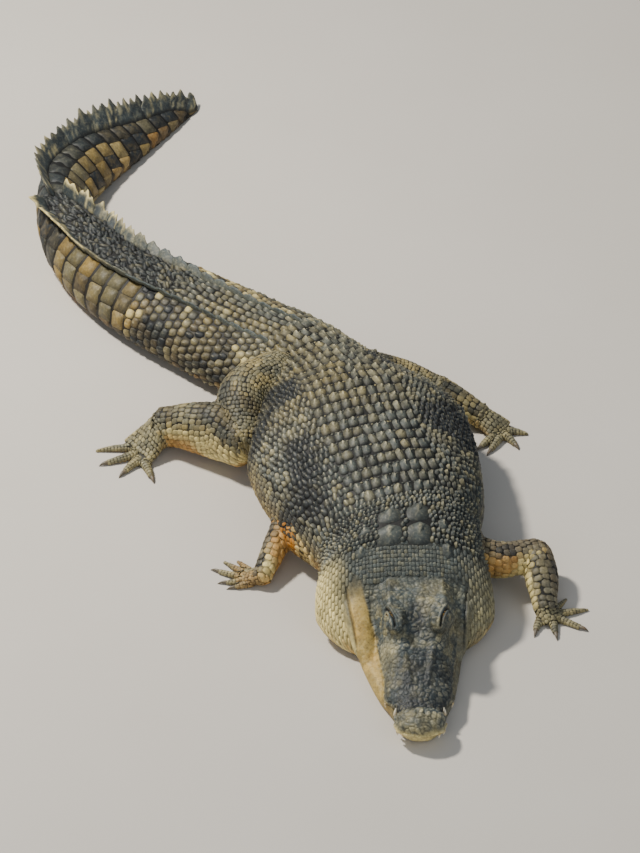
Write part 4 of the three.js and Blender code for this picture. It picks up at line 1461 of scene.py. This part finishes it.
def neck_scales(coat):
    body = shared("sheets")["body"]
    free = lambda s, a: not any(inside(s, a, *place) for place in NUCHAL + NAPE)
    coat.lay(body, "nuchal", both(NUCHAL))
    coat.lay(body, "nape_shield", both(NAPE))
    coat.lay(body, "nape", where(rows(560, JOWL_END, 11.5, -168, 168, 12, 0), free))
    coat.lay(body, "jowl", both(columns(446, JOWL_END, 23, 168, half_girth(0.8)(640), 12.5)))
    coat.lay(body, "neck", where(rows(JOWL_END, NECK_END, 17, half_girth(-0.8), half_girth(0.8), 16.5), free))


def back_scales(coat):
    body = shared("sheets")["body"]
    for i in range(int((BACK_END - NECK_END) / BACK_ROW) + 1):
        s = NECK_END + BACK_ROW * i
        wide = back_edge(s)
        coat.lay(body, "back", rows(s, s + SCUTE, SCUTE, -wide, wide, 34, 0))
        grains = rows(s + SCUTE - 1, s + BACK_ROW, BACK_ROW - SCUTE + 1, -wide, wide, 13, 0)
        coat.lay(body, "back_grain", grains)


def flank_scales(coat):
    body = shared("sheets")["body"]
    upper, lower = half_girth(FLANK_MIDDLE), half_girth(FLANK_END)
    coat.lay(body, "flank", both(rows(NECK_END, BACK_END, BACK_ROW / 2, back_edge, upper, 21)))
    coat.lay(body, "low_flank", both(rows(NECK_END, BACK_END, 24, upper, lower, 18)))


def belly_scales(coat):
    body, half = shared("sheets")["body"], half_girth(1.0)
    throat = rows(446, NECK_END, 24, half_girth(0.8), half, 24, 0)
    trunk = rows(NECK_END, BACK_END, WHORL / 2, half_girth(FLANK_END), half, 34, 0)
    tail = rows(BACK_END, TAIL_BELLY_END, WHORL, half_girth(0.8), half, 34, 0)
    for places in (throat, trunk, tail):
        coat.lay(body, "belly", both(places))


def tail_scales(coat):
    body = shared("sheets")["body"]
    for i in range(WHORLS):
        s = TAIL_START + WHORL * i
        end, middle = s + WHORL, s + WHORL / 2
        inner = 4.0
        if middle < SINGLE_FROM:
            inner = float(crest_across(middle))
            near, far = inner - 5, 5 - inner
            if s < RUFFLE_START:
                wide = float(np.interp(s, [TAIL_START, RUFFLE_START], [33, 27]))
                coat.lay(body, "tail_top", rows(s, end, WHORL / 2, far, near, wide, 0))
            else:
                coat.lay(body, "ruffle", rows(s, end, WHORL / 3, far, near, 17))
        low = half_girth()(middle) * (0.8 if s < TAIL_BELLY_END else 0.97)
        if s < OVALS_END:
            coat.lay(body, "tail_root", both(rows(s, end, WHORL / 2, inner + 6, low, 30)))
        elif s < PLATES_START:
            coat.lay(body, "tail_side", both(rows(s, end, WHORL / 2, inner + 6, low, 36)))
        else:
            wide = float(np.interp(s, [PLATES_START, 3200, 4200], [68, 78, 46]))
            coat.lay(body, "tail_plate", both(rows(s, end, WHORL, inner + 6, low, wide, 0)))


def limb_scales(coat):
    for name, sheet in shared("sheets").items():
        if name == "body":
            continue
        limb, _, part = name.split("_")[:3]
        start, end = sheet.along[0], sheet.along[-1]
        half = lambda share: lambda s: share * float(sheet.girth_at(s)) / 2
        if part == "toe":
            coat.lay(sheet, "toe_top", rows(start + 2, end - 2, 12, half(-0.6), half(0.6), half(0.4), 0))
            coat.lay(sheet, "toe_side", both(rows(start + 2, end - 2, 8, half(0.6), half(1), 8)))
        else:
            pitch, width, height = LIMB_SCALES[f"{limb}_{part}"]
            coat.lay(sheet, "limb", rows(start, end, pitch, half(-1), half(1), width), height)


COATS = {
    "coat_neck": (neck_scales, "hide", 21),
    "coat_back": (back_scales, "hide", 22),
    "coat_flank": (flank_scales, "hide", 23),
    "coat_belly": (belly_scales, "pale_hide", 24),
    "coat_tail": (tail_scales, "tail_hide", 25),
    "coat_limbs": (limb_scales, "hide", 26),
}


def make_coat(name):
    """One part's coat of scales."""
    lay, slot, seed = COATS[name]
    coat = Coat(shared("tree"), seed)
    lay(coat)
    coat.make(name, slot)


# ---------------------------------------------------------------- crest

CREST_ROOT = 12.0
CREST_LEAN = 37.0
BLADE_CUTS = (9, 7)


def blade_mesh():
    """A thin plate from (-1, -1) to (1, 1), in squares, with two sides at z = 0 and z = 1."""
    start_afresh()
    across, up = BLADE_CUTS
    bpy.ops.mesh.primitive_grid_add(x_subdivisions=across, y_subdivisions=up, size=2)
    bpy.ops.object.mode_set(mode="EDIT")
    bpy.ops.mesh.select_all(action="SELECT")
    bpy.ops.mesh.extrude_region_move(TRANSFORM_OT_translate={"value": (0, 0, 1)})
    close_solid()
    return take_mesh()


def crest_blades():
    """(along, side) of each blade, side 0 in the single row."""
    for i in range(WHORLS):
        middle = TAIL_START + WHORL * (i + 0.5)
        for side in (-1, 1) if middle < SINGLE_FROM else (0,):
            yield middle, side


def make_crest():
    """The two rows of blades on the tail, and the single row they run into."""
    points, faces = blade_mesh()
    x, up, side = (points[:, 0] + 1) / 2, (points[:, 1] + 1) / 2, points[:, 2] * 2 - 1
    body = shared("sheets")["body"]
    random = np.random.default_rng(31)
    coat = Coat(None, 32)
    for middle, row in crest_blades():
        single = row == 0
        tall = CREST_HEIGHT(middle) * random.uniform(0.88, 1.06)
        stout = min(tall / 80, 1)
        frayed = smoothstep(2700, 3100, middle)
        phase, teeth = random.uniform(0, 6.3), random.uniform(1.1, 2.2)
        # the outline: front and rear edges, then the notched top
        broad = 0.12 * single
        front = -0.53 - broad + 0.25 * up**2
        rear = 0.5 + broad + 0.18 * np.sin(np.pi * up) - 0.05 * up**3
        u = front + (rear - front) * x
        notch = 0.5 + 0.5 * np.cos(2 * np.pi * teeth * x + phase)
        peak = 1 - (0.5 - 2 * broad) * np.clip(0.62 - x, 0, 1) ** 1.3 - 0.5 * np.clip(x - 0.8, 0, 1)
        height = (tall + CREST_ROOT) * up * (1 - up * (1 - peak) - (0.1 + 0.16 * frayed) * notch * up**3)
        thick = (8.5 * (1 - up) ** 0.8 + 1.0 + 2.5 * stout * (1 - up)) * (1 - 0.9 * (2 * x - 1) ** 2) ** 0.5
        ribs = 0.9 * np.sin(2 * np.pi * 4 * x + phase) * up * (1 - up) * 4
        # where it stands and how it leans
        along = middle + WHORL * u * (0.92 + 0.12 * stout)
        across = row * crest_across(along) if row else np.zeros(len(along))
        ahead = body.at(middle + 8, 0) - body.at(middle - 8, 0)
        ahead /= np.linalg.norm(ahead)
        top = body.facing(middle, 0.0)
        left = np.cross(ahead, top)
        lean = np.radians(CREST_LEAN) * row * smoothstep(2100, 2700, middle)
        lean = lean + np.radians(random.uniform(-6, 6))
        rise = np.cos(lean) * top + np.sin(lean) * left
        aside = np.cos(lean) * left - np.sin(lean) * top
        sweep = ahead * (0.12 * height)[:, None]
        place = body.at(along, across) + rise * (height - CREST_ROOT)[:, None] + sweep
        place = place + aside * (side * thick + ribs)[:, None]
        place[:, 2] = np.maximum(place[:, 2], FLOOR_GAP)
        # pale frayed tips over dark blades, in upright streaks
        streak = blotch(np.stack([along, 0.2 * height, 0 * along], -1), 7, 33)
        tips = smoothstep(0.55, 0.95, up) * (0.5 + 0.5 * random.uniform()) * (1 - 0.6 * single)
        pale = tips * frayed * (0.9 if row else 0.5)
        pale = pale + 0.5 * smoothstep(0.55, 0.75, streak) * frayed * random.uniform()
        dark = (0.75 + 0.2 * single) * frayed * (1 - tips) * random.uniform(0.6, 1)
        dark = dark * (1 - 0.7 * smoothstep(0.5, 0.8, streak))
        # painted shade: the low crown at the root of each blade darkens it where it meets the tail
        values = {
            "khaki": 0.3 * (1 - up) * (1 - frayed),
            "ochre": np.zeros(len(up)),
            "pale": np.clip(pale, 0, 1),
            "dark": np.clip(dark, 0, 1),
            "mud": np.zeros(len(up)),
            "crown": 0.1 + 0.5 * smoothstep(0.1, 0.3, up),
            "tone": np.full(len(up), random.uniform(0.1, 0.9)),
        }
        for key, numbers in values.items():
            coat.values[key].append(numbers)
        coat.points.append(place)
        patch = body.on_patch(np.full(len(x), middle), np.full(len(x), row * 60.0))
        coat.uv.append(patch + PATCH * points[:, :2])
        coat.faces += [[coat.count + i for i in face] for face in faces]
        coat.count += len(points)
    coat.make("crest", "tail_hide")


# ---------------------------------------------------------------- eyes, teeth and claws

TOOTH_ROOT = 7
GAZE = (0.62, -0.18, 0.76)


def ring_solid(name, rings, tip):
    """A horn: a round end carried through (middle, radius, direction) rings to a point."""
    start_afresh()
    bpy.ops.mesh.primitive_circle_add(vertices=12, radius=1, fill_type="NGON")
    bpy.ops.object.mode_set(mode="EDIT")
    bpy.ops.mesh.select_all(action="SELECT")
    for _ in rings[1:]:
        bpy.ops.mesh.extrude_region_move(TRANSFORM_OT_translate={"value": (0, 0, 1)})
    bpy.ops.mesh.poke(offset=1)
    close_solid()
    piece = bpy.context.active_object
    piece.name = name
    points = own_points(piece)
    middles = np.array([ring[0] for ring in rings] + [tip])
    sizes = np.array([ring[1] for ring in rings] + [0.0])
    level = np.clip(np.round(points[:, 2]).astype(int), 0, len(rings))
    ahead = np.gradient(middles, axis=0)
    ahead /= np.linalg.norm(ahead, axis=1, keepdims=True)
    helper = np.array([0.0, 0, 1]) if abs(ahead[0][2]) < 0.8 else np.array([0.0, 1, 0])
    across = np.cross(ahead, helper)
    across /= np.linalg.norm(across, axis=1, keepdims=True)
    up = np.cross(across, ahead)
    spread = across[level] * points[:, :1] + up[level] * points[:, 1:2]
    write_points(piece, middles[level] + spread * sizes[level][:, None])
    write_values(piece.data, {"tip": level / len(rings)})
    return piece


def join_pieces(name, pieces):
    """One object from several."""
    start_afresh()
    for piece in pieces:
        piece.select_set(True)
    bpy.context.view_layer.objects.active = pieces[0]
    bpy.ops.object.join()
    whole = bpy.context.active_object
    whole.name = whole.data.name = name
    return whole


def make_teeth():
    """The teeth that show outside the closed lips."""
    pieces = []
    for upper, row in ((True, UPPER_TEETH), (False, LOWER_TEETH)):
        way = -1 if upper else 1
        for along, length in row:
            radius, back, inwards = length * 0.26, 0.16 * length, 0.1 * length
            left = LIP_WIDTH(along) - 3 if upper else LIP_WIDTH(along) + radius + 1
            lip = LIP_HEIGHT(along)
            for side in (-1, 1):
                rings = []
                for t in np.linspace(0, 0.94, 7):
                    up = lip - way * TOOTH_ROOT + way * (length + 6) * t
                    middle = body_point(along + back * t * t, side * (left - inwards * t * t), up)
                    rings.append((middle, radius * (1 - t**1.6) ** 0.75))
                tip = body_point(along + back, side * (left - inwards), lip + way * (length - 1))
                pieces.append(ring_solid("tooth", rings, tip))
    piece = join_pieces("teeth", pieces)
    apply_modifier(piece, "SUBSURF", levels=1, render_levels=1)
    finish_piece(piece, tooth_finish(), "tooth")


CLAWED_TOES = 3
CLAW_LENGTH = 38.0
CLAW_ARCH = 1.5
CLAWS = [f"claw_{end}_{side}_{i}" for end in ("hand", "foot") for side in SIDES for i in (1, 2, 3)]


def make_claws():
    """A claw on each of the three inner toes of every foot."""
    pieces = []
    for parts in LIMBS.values():
        for toe in parts["toes"][:CLAWED_TOES]:
            points, ahead = line_points(toe, 12)
            end, way, thick = points[-1], ahead[-1], toe[-1][4]
            root = end - way * 2
            rings = []
            for t in np.linspace(0, 0.95, 9):
                arch = CLAW_ARCH * math.sin(math.pi * t) * 3 + (3.2 - root[2]) * t * t
                middle = root + way * CLAW_LENGTH * t + np.array([0, 0, 1]) * arch
                rings.append((middle, thick * (0.78 * (1 - t**1.7) + 0.05)))
            tip = root + way * CLAW_LENGTH
            tip[2] = 2.0
            pieces.append(ring_solid("claw", rings, tip))
    piece = join_pieces("claws", pieces)
    apply_modifier(piece, "SUBSURF", levels=1, render_levels=1)
    points = read_points(piece)
    points[:, 2] = np.maximum(points[:, 2], FLOOR_GAP)
    write_points(piece, points)
    finish_piece(piece, claw_finish(), "claw", CLAWS)


def make_eyes():
    """Two balls with a slit pupil, mostly under the lids."""
    pieces = []
    (along, left, up), _ = EYE
    for side in (-1, 1):
        middle = body_point(along, side * left, up)
        start_afresh()
        bpy.ops.mesh.primitive_uv_sphere_add(segments=48, ring_count=32, radius=1)
        piece = bpy.context.active_object
        points = own_points(piece)
        gaze = np.array([side * GAZE[0], *GAZE[1:]])
        gaze /= np.linalg.norm(gaze)
        facing = points @ gaze
        bulge = 1 + 0.06 * smoothstep(0.72, 0.95, facing)
        ahead = np.array([0.0, 1, 0]) - gaze * gaze[1]
        ahead /= np.linalg.norm(ahead)
        slit = (1 - smoothstep(0.05, 0.16, np.abs(points @ ahead))) * smoothstep(0.5, 0.7, facing)
        write_points(piece, middle + points * EYE_BALL * bulge[:, None])
        write_values(piece.data, {"slit": slit})
        pieces.append(piece)
    piece = join_pieces("eyes", pieces)
    finish_piece(piece, eye_finish(), "eye", [f"eye_{side}" for side in SIDES])


# ---------------------------------------------------------------- the stage

CAMERA = {"azimuth": 0.0, "elevation": 38.0, "distance": 15.45, "lens": 184.56}
AIM = Vector((0.0798, -0.3741, 0.1545))
# Name, place, size, power and colour of each lamp.
LIGHTS = (
    ("key", (-3.9, 1.3, 6.6), 0.9, 1000, (1.0, 0.95, 0.87)),
    ("fill", (5.5, -5.0, 5.0), 6.0, 110, (0.86, 0.93, 1.0)),
    ("front", (-1.5, -7.0, 4.0), 4.0, 90, (1.0, 0.98, 0.95)),
)
SKY = {"Color": (0.80, 0.88, 1.0, 1), "Strength": 0.3}


def point_at(thing, place, target):
    """Puts a lamp or camera at a place, looking at its target."""
    thing.location = place
    thing.rotation_euler = (target - Vector(place)).to_track_quat("-Z", "Y").to_euler()


def add_light(name, place, size, power, colour):
    start_afresh()
    bpy.ops.object.light_add(type="AREA")
    light = bpy.context.active_object
    light.name = name
    light.data.shape = "DISK"
    light.data.size, light.data.energy, light.data.color = size, power, colour
    point_at(light, place, Vector((0, 0, 0)))


def make_stage():
    """The floor, the lamps, the sky and the camera."""
    start_afresh()
    bpy.ops.mesh.primitive_grid_add(x_subdivisions=8, y_subdivisions=8, size=60, location=(0, 0, 0))
    floor = bpy.context.active_object
    floor.name = floor.data.name = "floor"
    floor.data.materials.append(floor_finish())
    for light in LIGHTS:
        add_light(*light)
    world = bpy.data.worlds.new("studio")
    bpy.context.scene.world = world
    world.use_nodes = True
    for key, value in SKY.items():
        world.node_tree.nodes["Background"].inputs[key].default_value = value
    turn, lift = math.radians(CAMERA["azimuth"]), math.radians(CAMERA["elevation"])
    away = Vector((math.sin(turn) * math.cos(lift), -math.cos(turn) * math.cos(lift), math.sin(lift)))
    bpy.ops.object.camera_add()
    camera = bpy.context.active_object
    camera.name = "camera"
    camera.data.lens, camera.data.sensor_width, camera.data.sensor_fit = CAMERA["lens"], 36, "AUTO"
    camera.data.clip_end = 200
    point_at(camera, AIM + away * CAMERA["distance"], AIM)
    bpy.context.scene.camera = camera


# ---------------------------------------------------------------- add-on


class CrocodileHide(bpy.types.PropertyGroup):
    """Colours of the hide."""

    slate: FloatVectorProperty(
        name="Slate", description="Ground colour of the back", subtype="COLOR", default=paint(80, 90, 90)
    )
    khaki: FloatVectorProperty(
        name="Khaki", description="Brown-grey of back and tail", subtype="COLOR", default=paint(128, 114, 66)
    )
    ochre: FloatVectorProperty(
        name="Ochre", description="Yellow of the lower sides", subtype="COLOR", default=paint(172, 138, 56)
    )
    pale: FloatVectorProperty(
        name="Pale", description="Cream of jowls and belly", subtype="COLOR", default=paint(240, 221, 150)
    )
    # The dark colour also paints the shade on the left flank and where the right thigh meets the body.
    dark: FloatVectorProperty(
        name="Dark", description="Blue-black of the blotches", subtype="COLOR", default=paint(28, 34, 38)
    )
    mud: FloatVectorProperty(
        name="Mud", description="Red-brown stain low down", subtype="COLOR", default=paint(178, 114, 26)
    )
    # Near-black of the grooves between scales: the skin there with painted shade over it.
    groove_shade: FloatVectorProperty(
        name="Groove", description="Skin between scales", subtype="COLOR", default=paint(14, 14, 13)
    )
    # Colour of the painted highlight on the tops of the scales, with their pale wear, and of the pale flecks.
    crest: FloatVectorProperty(
        name="Crown", description="Worn tops of the scales", subtype="COLOR", default=paint(216, 206, 168)
    )
    flecks: FloatProperty(
        name="Flecks", description="How strong the pale flecks are", default=0.16, min=0, max=1
    )
    specks: FloatProperty(
        name="Specks", description="How strong the dark specks are", default=0.4, min=0, max=1
    )
    # Strength of the painted highlight on the tops of the scales.
    highlight: FloatProperty(
        name="Wear", description="How worn the tops of the scales are", default=0.8, min=0, max=2
    )
    # How strong the painted shade in the grooves is.
    groove_shade_depth: FloatProperty(
        name="Groove depth", description="How dark the grooves are", default=0.97, min=0, max=1
    )


class PieceOperator:
    """What the operators share: each has its own make."""

    bl_options = {"REGISTER", "UNDO"}

    def execute(self, context):
        self.make()
        return {"FINISHED"}


class CROCODILE_OT_skin(PieceOperator, bpy.types.Operator):
    """Draw one skin over the flesh, with the folds, lids and rough bone of the head"""

    bl_idname = "crocodile.skin"
    bl_label = "Skin"
    make = staticmethod(make_skin)


class CROCODILE_OT_scales(PieceOperator, bpy.types.Operator):
    """Lay the scales of one part of the skin"""

    bl_idname = "crocodile.scales"
    bl_label = "Scales"
    piece: StringProperty(
        name="Part", description="Which coat of scales to lay", default="coat_back"
    )

    def make(self):
        make_coat(self.piece)


class CROCODILE_OT_crest(PieceOperator, bpy.types.Operator):
    """Stand the blades of the crest on the tail"""

    bl_idname = "crocodile.crest"
    bl_label = "Crest"
    make = staticmethod(make_crest)


class CROCODILE_OT_eyes(PieceOperator, bpy.types.Operator):
    """Set both eyes under their lids"""

    bl_idname = "crocodile.eyes"
    bl_label = "Eyes"
    make = staticmethod(make_eyes)


class CROCODILE_OT_teeth(PieceOperator, bpy.types.Operator):
    """Set the teeth that show with the mouth closed"""

    bl_idname = "crocodile.teeth"
    bl_label = "Teeth"
    make = staticmethod(make_teeth)


class CROCODILE_OT_claws(PieceOperator, bpy.types.Operator):
    """Grow the claws of the inner toes"""

    bl_idname = "crocodile.claws"
    bl_label = "Claws"
    make = staticmethod(make_claws)


class CROCODILE_OT_stage(PieceOperator, bpy.types.Operator):
    """Set out the floor, lights and camera"""

    bl_idname = "crocodile.stage"
    bl_label = "Stage"
    make = staticmethod(make_stage)


class CROCODILE_PT_panel(bpy.types.Panel):
    """Panel that makes the crocodile piece by piece"""

    bl_idname = "CROCODILE_PT_panel"
    bl_label = "Crocodile"
    bl_space_type = "VIEW_3D"
    bl_region_type = "UI"
    bl_category = "Crocodile"

    def draw(self, context):
        hide = context.scene.crocodile_hide
        for key in CrocodileHide.__annotations__:
            self.layout.prop(hide, key)
        for operator in OPERATORS:
            self.layout.operator(operator.bl_idname)


OPERATORS = (
    CROCODILE_OT_stage, CROCODILE_OT_skin, CROCODILE_OT_scales, CROCODILE_OT_crest, CROCODILE_OT_eyes,
    CROCODILE_OT_teeth, CROCODILE_OT_claws,
)
CLASSES = (CrocodileHide, *OPERATORS, CROCODILE_PT_panel)


def register():
    for each in CLASSES:
        bpy.utils.register_class(each)
    bpy.types.Scene.crocodile_hide = PointerProperty(type=CrocodileHide)


def unregister():
    del bpy.types.Scene.crocodile_hide
    for each in reversed(CLASSES):
        bpy.utils.unregister_class(each)


def main():
    register()
    start_afresh()
    bpy.ops.crocodile.stage()
    bpy.ops.crocodile.skin()
    for name in COATS:
        bpy.ops.crocodile.scales(piece=name)
    bpy.ops.crocodile.crest()
    bpy.ops.crocodile.eyes()
    bpy.ops.crocodile.teeth()
    bpy.ops.crocodile.claws()


if __name__ == "__main__":
    main()
